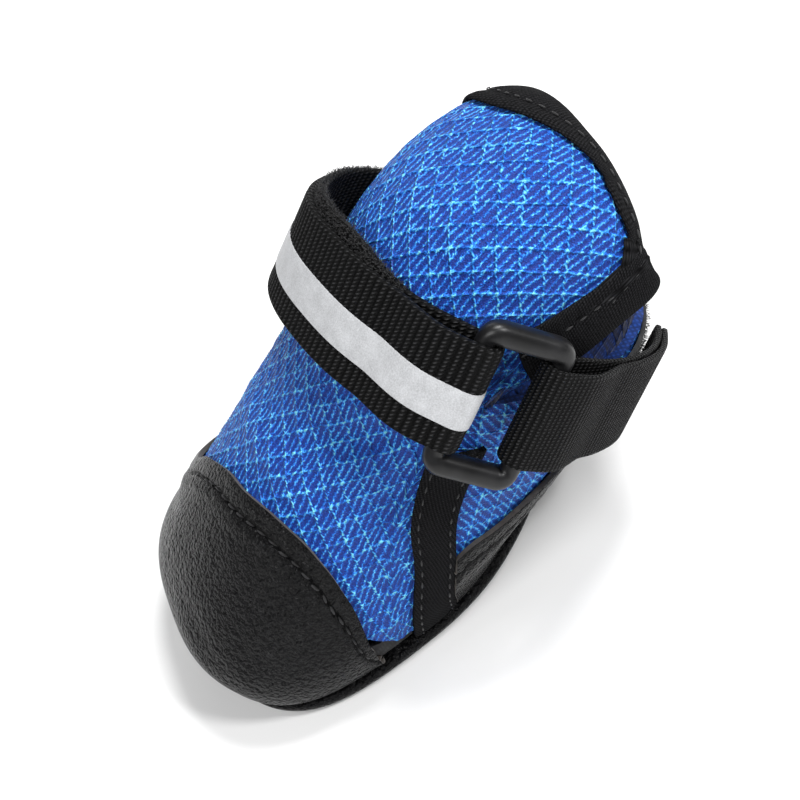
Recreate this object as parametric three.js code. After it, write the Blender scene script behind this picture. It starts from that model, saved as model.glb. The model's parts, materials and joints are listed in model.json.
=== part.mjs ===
// Soft dog boot: a mesh upper with a long front flap, a padded sole, leather toe cap and heel
// counter, knit tape round the flap, and a webbing strap folded round a plastic ring.
// Millimetres. +X points to the toe, +Y to the wearer's left, +Z up. The origin lies on the
// ground under the middle of the foot.
import * as THREE from 'three';

// ---------------------------------------------------------------- driving sizes
const WALL = 2.0; // spacer mesh
const GAP = 0.33; // between two touching pieces
const CAP_GAP = 0.42; // the toe cap spans a tighter curve
const LEATHER = 1.0; // toe cap and heel counter
const TAPE = 1.3; // knit binding tape
const LOOP_TAPE = 1.5; // fuzzy tape behind the ankle
const SEAM_HEIGHT = 5.0; // where the upper meets the sole
const SEAM_LEVEL = 0.5; // lower edge of the leather and of the bands, in section numbers
const STRAP_LEVEL = 7; // top of the rear quarter, under the strap
const BAND_TOP = 6.2; // where the side bands end, under the strap and its ring
const COLLAR_LEVEL = 13;
const COLUMNS_ROUND = 48;
const FLAP_COLUMNS = 10; // on each side of the front line

function table(names, rows) {
  return rows.map((row) => Object.fromEntries(names.map((name, i) => [name, row[i]])));
}

// Each section is a rounded oval between a point on the front line and one on the back line.
const SECTIONS = table(
  ['frontX', 'frontZ', 'backX', 'backZ', 'halfWidth', 'shiftY', 'egg', 'heel', 'squareFront', 'squareBack'],
  [
    [47.5, 5, -34.5, 5, 29.8, 0, 0.2, 0.22, 2.9, 1.75],
    [50, 10, -36.5, 10, 31, 0, 0.2, 0.22, 2.8, 1.75],
    [51.2, 17, -41.5, 15, 32, 0, 0.14, 0.19, 2.7, 1.8],
    [46, 26, -48, 20, 31.2, 0, 0.09, 0.12, 2.5, 1.85],
    [36, 36, -54, 26, 30.4, 0, 0.04, 0.07, 2.3, 1.95],
    [24, 46, -59.5, 32, 29.7, 0, 0, 0.03, 2.2, 2.1],
    [10, 57, -63, 38, 29.0, 0, 0, 0, 2.2, 2.2],
    [-4, 69, -66, 44, 28.2, 0, 0, 0, 2.2, 2.2],
    [-17, 79.5, -69, 47, 28.2, -0.8, 0, 0, 2.2, 2.2],
    [-31, 87.5, -72, 49, 27.8, -1.2, 0, 0, 2.2, 2.2],
    [-45, 91, -72, 50, 26.7, -1.2, 0, 0, 2.2, 2.2],
    [-55.5, 91, -69, 52, 24.3, -0.3, 0, 0, 2.2, 2.2],
    [-63.4, 86.7, -64, 55, 21.2, 0.3, 0, 0, 2.2, 2.2],
    [-67, 76.3, -59, 58, 16.3, 0.9, 0, 0, 2.2, 2.2],
  ],
).map((row, level) => ({ level, ...row }));

// Half the flap's spread round each section, in degrees from the front line.
const FLAP_SPREAD = table(
  ['level', 'angle'],
  [[7, 75], [7.5, 86], [8, 94], [9, 102], [10, 106], [13, 112]],
);
const FLAP_CORNER = { from: 0.5, drop: 2.2 };
const FLAP_SLANT = { from: -0.3, to: 0.6, drop: 1.4 }; // the flap is shorter on the wearer's right

// Upper edges of the two leather overlays: the cap round from the front line, in degrees,
// the counter round from the back line, as a share of the way to the side band.
const CAP_EDGE = table(
  ['angle', 'level'],
  [
    [-77, 1.7], [-72, 2.2], [-62, 2.8], [-45, 3.4], [-32, 3.95], [-21, 4.5], [-4, 4.93], [13, 5.05],
    [25, 5.05], [35.5, 4.92], [45, 4.68], [54, 4.28], [61, 3.83], [68, 3.25], [73.5, 2.5], [77, 1.7],
  ],
);
const COUNTER_EDGE = table(
  ['share', 'level'],
  [[0, 4.5], [0.4, 4.35], [0.7, 3.95], [0.85, 3.65], [0.95, 3.55], [1, 3.35]],
);
const LOOP_PATCH = { angle: 58, low: 4.8, high: 6.8 };

// Side bands: where their two edges lie at each level.
const BAND_EDGES = table(
  ['level', 'frontX', 'rearX'],
  [[0.5, 8, -3], [2, 6, -4], [3.7, 0.5, -8.5], [4.7, -2.5, -12], [5.5, -7, -17], [6.2, -12.5, -23], [7, -20, -29]],
);

const TOE_SPRING = { from: 30, run: 19, rise: 2.4 };
const TOE_LEAN = { from: -5, run: 50, shift: 3.5 }; // the toe drifts to the wearer's left
const HEEL_SPRING = { from: -29, run: -8, rise: 1.0 };
const SPRING_FADE = 3; // levels above the seam over which the lift dies out
const ARCH = { from: -20, to: -3, rise: 0.7 };

// Sole edge, from the tread round to the top: distance outside the seam line, and height.
const SOLE_EDGE = table(
  ['outset', 'height'],
  [[-3.4, 0], [-1.0, 0.4], [0.9, 1.6], [1.7, 3.1], [1.2, 4.3], [-0.3, 4.65]],
);
const SOLE_RINGS = [0.8, 0.55, 0.3];
const TREAD_MIDDLE = 12;
const INSOLE = { inset: 2.7, thickness: 1.5 };

const STRAP = { width: 22.5, thickness: 1.6, layerGap: 0.35, end: -150, anchor: -176 };
const STRAP_LOOP = { x: -36, z: 51, slope: 46.2, tilt: 9, ahead: 36, behind: 34, side: 31.5, square: 2.3 };
// How far the strap stands off that oval, round from the front line (left side positive).
const STRAP_SLACK = table(
  ['angle', 'outset'],
  [
    [-180, -1.2], [-165, -1.7], [-150, -2.6], [-138, -2.4], [-120, -0.9], [-105, 0.2], [-90, 0.6],
    [-60, 3.5], [-30, 3], [0, 0.5], [30, -0.5], [60, 0], [90, 0], [105, -1], [120, -2.3],
    [140, -2.9], [160, -2.2], [180, -1.2],
  ],
);
// How far its upper edge leans in over the instep's right side, as a slope across its width.
const STRAP_LEAN = table(
  ['angle', 'lean'],
  [[-180, 0], [-150, 0.05], [-120, 0.15], [-100, 0.22], [-75, 0.2], [-50, 0.1], [-25, 0], [0, 0], [180, 0]],
);
const TAB = { width: 21.5, thickness: 1.3, layerGap: 0.35, end: 152 };
const RING = { angle: 66, bar: 4.0, run: 15.4, length: 28.5, drop: 0.8, corner: 2.4, clearance: 0.33 };

// ---------------------------------------------------------------- the last's surface
const radians = THREE.MathUtils.degToRad;

function lookUp(rows, key, value, column) {
  const last = rows.length - 1;
  let i = 0;
  while (i < last - 1 && rows[i + 1][key] < value) i += 1;
  const slope = (j) => {
    const a = rows[Math.max(j - 1, 0)];
    const b = rows[Math.min(j + 1, last)];
    return (b[column] - a[column]) / (b[key] - a[key]);
  };
  const span = rows[i + 1][key] - rows[i][key];
  const u = (value - rows[i][key]) / span;
  if (u > 1) return rows[last][column] + slope(last) * (value - rows[last][key]);
  const u2 = u * u;
  const u3 = u2 * u;
  return (2 * u3 - 3 * u2 + 1) * rows[i][column]
    + (u3 - 2 * u2 + u) * span * slope(i)
    + (3 * u2 - 2 * u3) * rows[i + 1][column]
    + (u3 - u2) * span * slope(i + 1);
}

function spring(x, { from, run, rise }) {
  const u = (x - from) / run;
  return u > 0 ? rise * u * u : 0;
}

function groundLift(x) {
  return spring(x, TOE_SPRING) + spring(x, HEEL_SPRING);
}

function squareness(level, cosine) {
  const front = lookUp(SECTIONS, 'level', level, 'squareFront');
  const back = lookUp(SECTIONS, 'level', level, 'squareBack');
  return THREE.MathUtils.lerp(back, front, (1 + cosine) / 2);
}

function surface(level, degrees) {
  const s = (column) => lookUp(SECTIONS, 'level', level, column);
  const angle = radians(degrees);
  const power = squareness(level, Math.cos(angle));
  const reach = (Math.abs(Math.cos(angle)) ** power + Math.abs(Math.sin(angle)) ** power) ** (-1 / power);
  const ahead = reach * Math.cos(angle);
  const aside = reach * Math.sin(angle);
  const x = (s('frontX') + s('backX')) / 2 + ((s('frontX') - s('backX')) / 2) * ahead;
  const z = (s('frontZ') + s('backZ')) / 2 + ((s('frontZ') - s('backZ')) / 2) * ahead;
  const lean = TOE_LEAN.shift * THREE.MathUtils.smoothstep(x, TOE_LEAN.from, TOE_LEAN.from + TOE_LEAN.run);
  const back = Math.max(0, -ahead);
  const y = s('shiftY') + lean + s('halfWidth') * aside * (1 + s('egg') * ahead - s('heel') * back * back);
  return new THREE.Vector3(x, y, z + groundLift(x) * Math.max(0, 1 - level / SPRING_FADE));
}

function slopes(level, degrees) {
  const step = 0.02;
  const up = surface(level + step, degrees).sub(surface(level - step, degrees)).divideScalar(2 * step);
  const round = surface(level, degrees + step).sub(surface(level, degrees - step)).divideScalar(2 * step);
  return { up, round, normal: new THREE.Vector3().crossVectors(round, up).normalize() };
}

function skin(level, degrees, offset) {
  return surface(level, degrees).addScaledVector(slopes(Math.max(level, 0.02), degrees).normal, offset);
}

// The angle, on the left side, at which a section passes a given x.
function angleAtX(level, x) {
  let low = 0;
  let high = 180;
  for (let i = 0; i < 30; i += 1) {
    const middle = (low + high) / 2;
    if (surface(level, middle).x > x) low = middle;
    else high = middle;
  }
  return (low + high) / 2;
}

// ---------------------------------------------------------------- closed meshes
function geometry(points, faces) {
  const shape = new THREE.BufferGeometry();
  shape.setAttribute('position', new THREE.Float32BufferAttribute(points.flatMap((p) => p.toArray()), 3));
  shape.setIndex(faces.flat());
  return shape;
}

// Two copies of a sheet, joined all along its free edges.
function thicken(quads, outer, inner) {
  const count = outer.length;
  const faces = [];
  const free = new Map();
  quads.forEach(([a, b, c, d]) => {
    faces.push([a, b, c], [a, c, d], [count + a, count + c, count + b], [count + a, count + d, count + c]);
    [[a, b], [b, c], [c, d], [d, a]].forEach(([from, to]) => {
      if (!free.delete(`${to}_${from}`)) free.set(`${from}_${to}`, [from, to]);
    });
  });
  free.forEach(([from, to]) => {
    faces.push([to, from, count + from], [to, count + from, count + to]);
  });
  return geometry([...outer, ...inner], faces);
}

function gridQuads(rows, columns) {
  const quads = [];
  for (let i = 0; i < rows; i += 1) {
    for (let j = 0; j < columns; j += 1) {
      const a = i * (columns + 1) + j;
      quads.push([a, a + 1, a + columns + 2, a + columns + 1]);
    }
  }
  return quads;
}

// A patch of the skin between two offsets. place(u, v) gives a level and an angle.
function patch(columns, rows, low, high, place) {
  const outer = [];
  const inner = [];
  for (let i = 0; i <= rows; i += 1) {
    for (let j = 0; j <= columns; j += 1) {
      const { level, angle } = place(j / columns, i / rows);
      outer.push(skin(level, angle, high));
      inner.push(skin(level, angle, low));
    }
  }
  return thicken(gridQuads(rows, columns), outer, inner);
}

// ---------------------------------------------------------------- upper
function flapSpread(level) {
  return lookUp(FLAP_SPREAD, 'level', level, 'angle');
}

function flapEnd(share) {
  const u = Math.max(0, (Math.abs(share) - FLAP_CORNER.from) / (1 - FLAP_CORNER.from));
  const slant = FLAP_SLANT.drop * THREE.MathUtils.smoothstep(-share, FLAP_SLANT.from, FLAP_SLANT.to);
  return COLLAR_LEVEL - slant - FLAP_CORNER.drop * (1 - Math.sqrt(Math.max(0, 1 - u * u)));
}

function flapPlace(share, height) {
  const level = STRAP_LEVEL + (flapEnd(share) - STRAP_LEVEL) * height;
  return { level, angle: share * flapSpread(level) };
}

function upper() {
  const places = [];
  const quads = [];
  const tubeRows = 14;
  const flapRows = 10;
  for (let i = 0; i <= tubeRows; i += 1) {
    for (let j = 0; j < COLUMNS_ROUND; j += 1) {
      places.push({ level: (STRAP_LEVEL * i) / tubeRows, angle: (360 * j) / COLUMNS_ROUND });
    }
  }
  const tubeIndex = (i, j) => i * COLUMNS_ROUND + ((j + COLUMNS_ROUND) % COLUMNS_ROUND);
  for (let i = 0; i < tubeRows; i += 1) {
    for (let j = 0; j < COLUMNS_ROUND; j += 1) {
      quads.push([tubeIndex(i, j), tubeIndex(i, j + 1), tubeIndex(i + 1, j + 1), tubeIndex(i + 1, j)]);
    }
  }
  const flapStart = places.length;
  const flapWidth = 2 * FLAP_COLUMNS + 1;
  for (let i = 1; i <= flapRows; i += 1) {
    for (let j = -FLAP_COLUMNS; j <= FLAP_COLUMNS; j += 1) {
      places.push(flapPlace(j / FLAP_COLUMNS, i / flapRows));
    }
  }
  const flapIndex = (i, j) => (i === 0 ? tubeIndex(tubeRows, j) : flapStart + (i - 1) * flapWidth + j + FLAP_COLUMNS);
  for (let i = 0; i < flapRows; i += 1) {
    for (let j = -FLAP_COLUMNS; j < FLAP_COLUMNS; j += 1) {
      quads.push([flapIndex(i, j), flapIndex(i, j + 1), flapIndex(i + 1, j + 1), flapIndex(i + 1, j)]);
    }
  }
  const outer = places.map(({ level, angle }) => skin(level, angle, 0));
  const inner = places.map(({ level, angle }) => skin(level, angle, -WALL));
  for (let j = 0; j < COLUMNS_ROUND; j += 1) inner[j].z = outer[j].z; // a level lower edge
  return thicken(quads, outer, inner);
}

// ---------------------------------------------------------------- overlays
function toeCap() {
  return patch(34, 8, CAP_GAP, CAP_GAP + LEATHER, (u, v) => {
    const angle = (2 * u - 1) * CAP_EDGE.at(-1).angle;
    const top = lookUp(CAP_EDGE, 'angle', angle, 'level');
    return { level: SEAM_LEVEL + (top - SEAM_LEVEL) * v, angle };
  });
}

function heelCounter() {
  return patch(24, 6, GAP, GAP + LEATHER, (u, v) => {
    const share = 2 * u - 1;
    const top = lookUp(COUNTER_EDGE, 'share', Math.abs(share), 'level');
    const level = SEAM_LEVEL + (top - SEAM_LEVEL) * v;
    const front = angleAtX(level, lookUp(BAND_EDGES, 'level', level, 'rearX') - GAP);
    return { level, angle: 180 + (180 - front) * share };
  });
}

function loopPatch() {
  return patch(12, 4, GAP, GAP + LOOP_TAPE, (u, v) => ({
    level: LOOP_PATCH.low + (LOOP_PATCH.high - LOOP_PATCH.low) * v,
    angle: 180 + (2 * u - 1) * LOOP_PATCH.angle,
  }));
}

function sideBand(side) {
  return patch(4, 18, GAP, GAP + TAPE, (u, v) => {
    const level = SEAM_LEVEL + (BAND_TOP - SEAM_LEVEL) * v;
    const front = lookUp(BAND_EDGES, 'level', level, 'frontX');
    const rear = lookUp(BAND_EDGES, 'level', level, 'rearX');
    const share = side > 0 ? u : 1 - u;
    return { level, angle: side * angleAtX(level, front + (rear - front) * share) };
  });
}

// The tape's cross-section, folded over the flap's free edge: distance in from the edge
// along the skin, and height over it.
const TAPE_FOLD = table(
  ['inward', 'height'],
  [
    [11, GAP], [11, 1.1], [10.2, 1.6], [5, 1.8], [0, 1.8], [-1.6, 1.0], [-2.2, -1], [-1.6, -3],
    [0, -3.6], [8, -3.5], [8, -WALL - GAP], [-GAP, -WALL - GAP], [-GAP, GAP], [3.5, GAP], [7.3, GAP],
  ],
);

function collarPath() {
  const steps = 9;
  const path = [];
  const start = 0.11; // just above the strap's lower layer
  for (let i = 0; i < steps; i += 1) path.push([1, start + ((1 - start) * i) / steps]);
  const turns = 30;
  for (let i = 0; i <= turns; i += 1) path.push([Math.sin(radians(90 - (180 * i) / turns)), 1]);
  for (let i = steps - 1; i >= 0; i -= 1) path.push([-1, start + ((1 - start) * i) / steps]);
  return path.map(([share, height]) => flapPlace(share, height));
}

function foldedTape(path, section) {
  const points = [];
  const edge = path.map(({ level, angle }) => surface(level, angle));
  path.forEach(({ level, angle }, i) => {
    const ahead = edge[Math.min(i + 1, path.length - 1)].clone().sub(edge[Math.max(i - 1, 0)]).normalize();
    const { up, round, normal } = slopes(level, angle);
    const inward = new THREE.Vector3().crossVectors(ahead, normal).negate();
    // The steps in level and in angle that move one millimetre inward.
    const uu = up.dot(up);
    const ur = up.dot(round);
    const rr = round.dot(round);
    const det = uu * rr - ur * ur;
    const iu = inward.dot(up);
    const ir = inward.dot(round);
    const levelStep = (iu * rr - ir * ur) / det;
    const angleStep = (ir * uu - iu * ur) / det;
    section.forEach((row) => {
      if (row.inward > 0) {
        points.push(skin(level + levelStep * row.inward, angle + angleStep * row.inward, row.height));
      } else {
        points.push(edge[i].clone().addScaledVector(inward, row.inward).addScaledVector(normal, row.height));
      }
    });
  });
  const n = section.length;
  const faces = [];
  for (let i = 0; i < path.length - 1; i += 1) {
    for (let j = 0; j < n; j += 1) {
      const k = (j + 1) % n;
      const [a, b, c, d] = [i * n + j, i * n + k, (i + 1) * n + k, (i + 1) * n + j];
      faces.push([a, b, c], [a, c, d]);
    }
  }
  const outline = section.map((row) => new THREE.Vector2(row.inward, row.height));
  const caps = THREE.ShapeUtils.triangulateShape(outline, []);
  const last = (path.length - 1) * n;
  caps.forEach(([a, b, c]) => faces.push([a, c, b], [last + a, last + b, last + c]));
  return geometry(points, faces);
}

// ---------------------------------------------------------------- sole
function solePoint(degrees, outset, height) {
  const seam = surface(0, degrees);
  const ahead = surface(0, degrees + 0.5).sub(surface(0, degrees - 0.5)).setZ(0).normalize();
  const x = seam.x + ahead.y * outset;
  return new THREE.Vector3(x, seam.y - ahead.x * outset, height + groundLift(x));
}

function archRise(x) {
  const u = (x - ARCH.from) / (ARCH.to - ARCH.from);
  return u > 0 && u < 1 ? ARCH.rise * Math.sin(Math.PI * u) ** 2 : 0;
}

// Rings round a plate, then rings that shrink towards the middle of the tread.
function plate(edge, rings, bottomShape) {
  const points = [];
  const degrees = (j) => (360 * j) / COLUMNS_ROUND;
  const shrink = (row, share) => {
    for (let j = 0; j < COLUMNS_ROUND; j += 1) {
      const rim = solePoint(degrees(j), row.outset, 0);
      const x = TREAD_MIDDLE + (rim.x - TREAD_MIDDLE) * share;
      points.push(new THREE.Vector3(x, rim.y * share, row.height + groundLift(x) + bottomShape(x, row.height)));
    }
  };
  const first = edge[0];
  const last = edge.at(-1);
  [...rings].reverse().forEach((share) => shrink(first, share));
  edge.forEach((row) => {
    for (let j = 0; j < COLUMNS_ROUND; j += 1) points.push(solePoint(degrees(j), row.outset, row.height));
  });
  rings.forEach((share) => shrink(last, share));
  const loops = points.length / COLUMNS_ROUND;
  const faces = [];
  for (let i = 0; i < loops - 1; i += 1) {
    for (let j = 0; j < COLUMNS_ROUND; j += 1) {
      const k = (j + 1) % COLUMNS_ROUND;
      const low = i * COLUMNS_ROUND;
      const high = low + COLUMNS_ROUND;
      faces.push([low + j, low + k, high + k], [low + j, high + k, high + j]);
    }
  }
  const bottom = points.length;
  points.push(new THREE.Vector3(TREAD_MIDDLE, 0, first.height));
  points.push(new THREE.Vector3(TREAD_MIDDLE, 0, last.height));
  const top = (loops - 1) * COLUMNS_ROUND;
  for (let j = 0; j < COLUMNS_ROUND; j += 1) {
    const k = (j + 1) % COLUMNS_ROUND;
    faces.push([bottom, k, j], [bottom + 1, top + j, top + k]);
  }
  return geometry(points, faces);
}

function sole() {
  return plate(SOLE_EDGE, SOLE_RINGS, (x, height) => (height === 0 ? archRise(x) : 0));
}

function insole() {
  const edge = [
    { outset: -INSOLE.inset, height: SEAM_HEIGHT },
    { outset: -INSOLE.inset, height: SEAM_HEIGHT + INSOLE.thickness },
  ];
  return plate(edge, SOLE_RINGS, () => 0);
}

// ---------------------------------------------------------------- strap, ring and tab
// The strap lies in a sloping plane: "ahead" runs up its slope, "side" to the wearer's left.
const STRAP_FRAME = new THREE.Matrix4()
  .makeTranslation(STRAP_LOOP.x, 0, STRAP_LOOP.z)
  .multiply(new THREE.Matrix4().makeRotationY(-radians(STRAP_LOOP.slope)))
  .multiply(new THREE.Matrix4().makeRotationX(radians(STRAP_LOOP.tilt)));

function loopPoint(degrees, outset) {
  const at = (d) => {
    const { ahead, behind, side, square } = STRAP_LOOP;
    const c = Math.cos(radians(d));
    const s = Math.sin(radians(d));
    const reach = (Math.abs(c) ** square + Math.abs(s) ** square) ** (-1 / square);
    return new THREE.Vector2((c > 0 ? ahead : behind) * reach * c, side * reach * s);
  };
  const along = at(degrees + 0.5).sub(at(degrees - 0.5)).normalize();
  const out = new THREE.Vector2(along.y, -along.x);
  const slack = lookUp(STRAP_SLACK, 'angle', degrees, 'outset');
  return { point: at(degrees).addScaledVector(out, outset + slack), along, out };
}

const RING_LIFT = GAP + STRAP.thickness + RING.clearance + RING.bar / 2;

function ringBar(side) {
  const { point, along } = loopPoint(RING.angle, RING_LIFT);
  return point.addScaledVector(along, (side * RING.run) / 2);
}

// A ribbon that comes in under a bar, turns round it and goes back over itself.
// side is -1 for the front bar and +1 for the rear bar.
function foldedRibbon(side, { width, thickness, layerGap }, innerEnd, outerEnd) {
  const bar = ringBar(side);
  const { along, out } = loopPoint(RING.angle, 0);
  const turn = RING.bar / 2 + RING.clearance + thickness / 2;
  const low = GAP + thickness / 2;
  const high = low + thickness + layerGap;
  const startAngle = RING.angle + side * 17;
  const settle = 22; // degrees over which the upper layer comes down on the lower one
  const middle = [];
  const steps = (from, to) => Math.max(4, Math.ceil(Math.abs(to - from) / 6));
  const count = steps(innerEnd, startAngle);
  for (let i = 0; i <= count; i += 1) {
    middle.push(loopPoint(innerEnd + ((startAngle - innerEnd) * i) / count, low).point);
  }
  for (let turned = -70; turned <= 70; turned += 20) {
    const toward = -side * Math.cos(radians(turned)) * turn;
    middle.push(bar.clone().addScaledVector(along, toward).addScaledVector(out, Math.sin(radians(turned)) * turn));
  }
  const back = steps(startAngle, outerEnd);
  const crest = bar.clone().addScaledVector(out, turn);
  middle.push(crest);
  const crestHeight = RING_LIFT + turn;
  for (let i = 0; i <= back; i += 1) {
    const angle = startAngle + ((outerEnd - startAngle) * i) / back;
    const fall = THREE.MathUtils.smoothstep(Math.abs(angle - startAngle), 0, settle);
    middle.push(loopPoint(angle, crestHeight + (high - crestHeight) * fall).point);
  }
  const normalAt = (i) => {
    const d = middle[Math.min(i + 1, middle.length - 1)].clone().sub(middle[Math.max(i - 1, 0)]).normalize();
    return new THREE.Vector2(-d.y, d.x);
  };
  const left = middle.map((p, i) => p.clone().addScaledVector(normalAt(i), thickness / 2));
  const right = middle.map((p, i) => p.clone().addScaledVector(normalAt(i), -thickness / 2));
  const outline = new THREE.Shape([...left, ...right.reverse()]);
  const ribbon = new THREE.ExtrudeGeometry(outline, { depth: width, bevelEnabled: false });
  ribbon.translate(0, 0, -width / 2);
  const spots = ribbon.attributes.position;
  for (let i = 0; i < spots.count; i += 1) {
    const behind = spots.getX(i) < 0 ? STRAP_LOOP.behind : STRAP_LOOP.ahead;
    const angle = THREE.MathUtils.radToDeg(Math.atan2(spots.getY(i) / STRAP_LOOP.side, spots.getX(i) / behind));
    const shift = -lookUp(STRAP_LEAN, 'angle', angle, 'lean') * spots.getZ(i);
    const sideways = loopPoint(angle, 0).out;
    spots.setX(i, spots.getX(i) + sideways.x * shift);
    spots.setY(i, spots.getY(i) + sideways.y * shift);
  }
  return ribbon.applyMatrix4(STRAP_FRAME);
}

function ring() {
  const { point, along, out } = loopPoint(RING.angle, RING_LIFT);
  const corners = 5;
  const sides = 10;
  const points = [];
  const path = [];
  [[1, 1], [-1, 1], [-1, -1], [1, -1]].forEach(([sx, sy], q) => {
    for (let i = 0; i <= corners; i += 1) {
      const a = radians(90 * (q + i / corners));
      path.push({
        x: sx * (RING.run / 2 - RING.corner) + RING.corner * Math.cos(a),
        y: sy * (RING.length / 2 - RING.corner) + RING.corner * Math.sin(a),
        nx: Math.cos(a),
        ny: Math.sin(a),
      });
    }
  });
  path.forEach((p) => {
    for (let j = 0; j < sides; j += 1) {
      const a = (2 * Math.PI * j) / sides;
      const reach = (RING.bar / 2) * Math.cos(a);
      const flat = point.clone().addScaledVector(along, p.x + p.nx * reach);
      flat.addScaledVector(out, (RING.bar / 2) * Math.sin(a));
      points.push(new THREE.Vector3(flat.x, flat.y, p.y + p.ny * reach - RING.drop).applyMatrix4(STRAP_FRAME));
    }
  });
  const faces = [];
  for (let i = 0; i < path.length; i += 1) {
    const low = i * sides;
    const high = ((i + 1) % path.length) * sides;
    for (let j = 0; j < sides; j += 1) {
      const k = (j + 1) % sides;
      faces.push([low + j, high + k, low + k], [low + j, high + j, high + k]);
    }
  }
  return geometry(points, faces);
}

// ---------------------------------------------------------------- the boot
const mesh = new THREE.MeshStandardMaterial({ color: 0x1c5fd6, roughness: 0.75, metalness: 0 });
const leather = new THREE.MeshStandardMaterial({ color: 0x1b1b1d, roughness: 0.5, metalness: 0 });
const knit = new THREE.MeshStandardMaterial({ color: 0x101012, roughness: 0.95, metalness: 0 });
const webbing = new THREE.MeshStandardMaterial({ color: 0x17171a, roughness: 0.85, metalness: 0 });
const plastic = new THREE.MeshStandardMaterial({ color: 0x202022, roughness: 0.35, metalness: 0 });

const boot = new THREE.Group();

function add(name, shape, material) {
  const piece = new THREE.Mesh(shape, material);
  piece.name = name;
  boot.add(piece);
}

add('sole', sole(), leather);
add('insole', insole(), knit);
add('upper', upper(), mesh);
add('toe_cap', toeCap(), leather);
add('heel_counter', heelCounter(), leather);
add('loop_patch', loopPatch(), knit);
add('side_band_left', sideBand(1), knit);
add('side_band_right', sideBand(-1), knit);
add('collar_binding', foldedTape(collarPath(), TAPE_FOLD), knit);
add('ring', ring(), plastic);
add('strap', foldedRibbon(-1, STRAP, STRAP.anchor, STRAP.end), webbing);
add('ring_tab', foldedRibbon(1, TAB, TAB.end, TAB.end - 4), webbing);

export default boot;
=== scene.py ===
"""Looks of a soft dog boot: mesh upper, leather toe, heel and sole, bound flap and wrap strap."""
import json
import math

import bpy
import numpy as np
from bpy.props import FloatProperty, FloatVectorProperty, PointerProperty
from mathutils import Matrix, Vector


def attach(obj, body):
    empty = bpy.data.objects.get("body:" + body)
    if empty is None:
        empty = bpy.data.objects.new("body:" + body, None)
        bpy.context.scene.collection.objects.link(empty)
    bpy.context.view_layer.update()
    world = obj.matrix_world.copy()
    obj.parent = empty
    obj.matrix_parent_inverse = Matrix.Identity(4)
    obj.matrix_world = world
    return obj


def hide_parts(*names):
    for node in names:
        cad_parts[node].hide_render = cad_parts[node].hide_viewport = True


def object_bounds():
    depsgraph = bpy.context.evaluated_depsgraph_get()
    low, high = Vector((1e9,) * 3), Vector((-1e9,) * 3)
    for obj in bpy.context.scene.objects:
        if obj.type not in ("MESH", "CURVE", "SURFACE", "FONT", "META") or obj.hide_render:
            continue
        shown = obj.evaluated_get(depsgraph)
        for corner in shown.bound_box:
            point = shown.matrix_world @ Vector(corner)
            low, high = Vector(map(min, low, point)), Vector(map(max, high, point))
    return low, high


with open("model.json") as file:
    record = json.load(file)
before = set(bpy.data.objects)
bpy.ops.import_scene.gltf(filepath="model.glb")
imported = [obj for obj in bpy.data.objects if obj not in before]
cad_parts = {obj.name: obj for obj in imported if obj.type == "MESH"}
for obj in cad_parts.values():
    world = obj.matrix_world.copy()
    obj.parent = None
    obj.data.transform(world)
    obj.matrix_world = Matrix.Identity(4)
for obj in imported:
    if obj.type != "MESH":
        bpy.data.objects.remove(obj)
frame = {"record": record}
CAD_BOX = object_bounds()
SLOTS = {entry["slot"]: entry for entry in frame["record"]["materials"]}

bl_info = {
    "name": "Dog boot",
    "version": (1, 0, 0),
    "blender": (4, 5, 0),
    "location": "View3D > Sidebar > Boot",
    "description": "Sews the panels, tapes, strap and sole of a soft dog boot",
    "category": "Mesh",
}

# Lengths are in millimetres on the last's surface, and MM turns them into metres.
MM = 0.001
GAP = 0.33
LOWEST = 0.02  # the lowest level that the last's surface is asked for
FOOT = 0.05  # where panels and overlays start, just over the sole's seam
SEAM_LEVEL = 0.5
STRAP_LEVEL = 7
BAND_TOP = 6.2
COLLAR_LEVEL = 13


def table(names, rows):
    """Named columns of a short table."""
    return {name: np.array([row[i] for row in rows], float) for i, name in enumerate(names)}


# Each section is a rounded oval between a point on the front line and one on the back line.
SECTIONS = table(
    [
        "level", "front_x", "front_z", "back_x", "back_z", "half", "shift", "egg", "heel",
        "square_f", "square_b",
    ],
    [
        [0, 47.5, 5, -34.5, 5, 29.8, 0, 0.2, 0.22, 2.9, 1.75],
        [1, 50, 10, -36.5, 10, 31, 0, 0.2, 0.22, 2.8, 1.75],
        [2, 51.2, 17, -41.5, 15, 32, 0, 0.14, 0.19, 2.7, 1.8],
        [3, 46, 26, -48, 20, 31.2, 0, 0.09, 0.12, 2.5, 1.85],
        [4, 36, 36, -54, 26, 30.4, 0, 0.04, 0.07, 2.3, 1.95],
        [5, 24, 46, -59.5, 32, 29.7, 0, 0, 0.03, 2.2, 2.1],
        [6, 10, 57, -63, 38, 29.0, 0, 0, 0, 2.2, 2.2],
        [7, -4, 69, -66, 44, 28.2, 0, 0, 0, 2.2, 2.2],
        [8, -17, 79.5, -69, 47, 28.2, -0.8, 0, 0, 2.2, 2.2],
        [9, -31, 87.5, -72, 49, 27.8, -1.2, 0, 0, 2.2, 2.2],
        [10, -45, 91, -72, 50, 26.7, -1.2, 0, 0, 2.2, 2.2],
        [11, -55.5, 91, -69, 52, 24.3, -0.3, 0, 0, 2.2, 2.2],
        [12, -63.4, 86.7, -64, 55, 21.2, 0.3, 0, 0, 2.2, 2.2],
        [13, -67, 76.3, -59, 58, 16.3, 0.9, 0, 0, 2.2, 2.2],
    ],
)
FLAP_SPREAD = table(
    ["level", "angle"],
    [[7, 75], [7.5, 86], [8, 94], [9, 102], [10, 106], [13, 112]],
)
FLAP_CORNER = {"from": 0.5, "drop": 2.2}
FLAP_SLANT = {"from": -0.3, "to": 0.6, "drop": 1.4}
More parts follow.
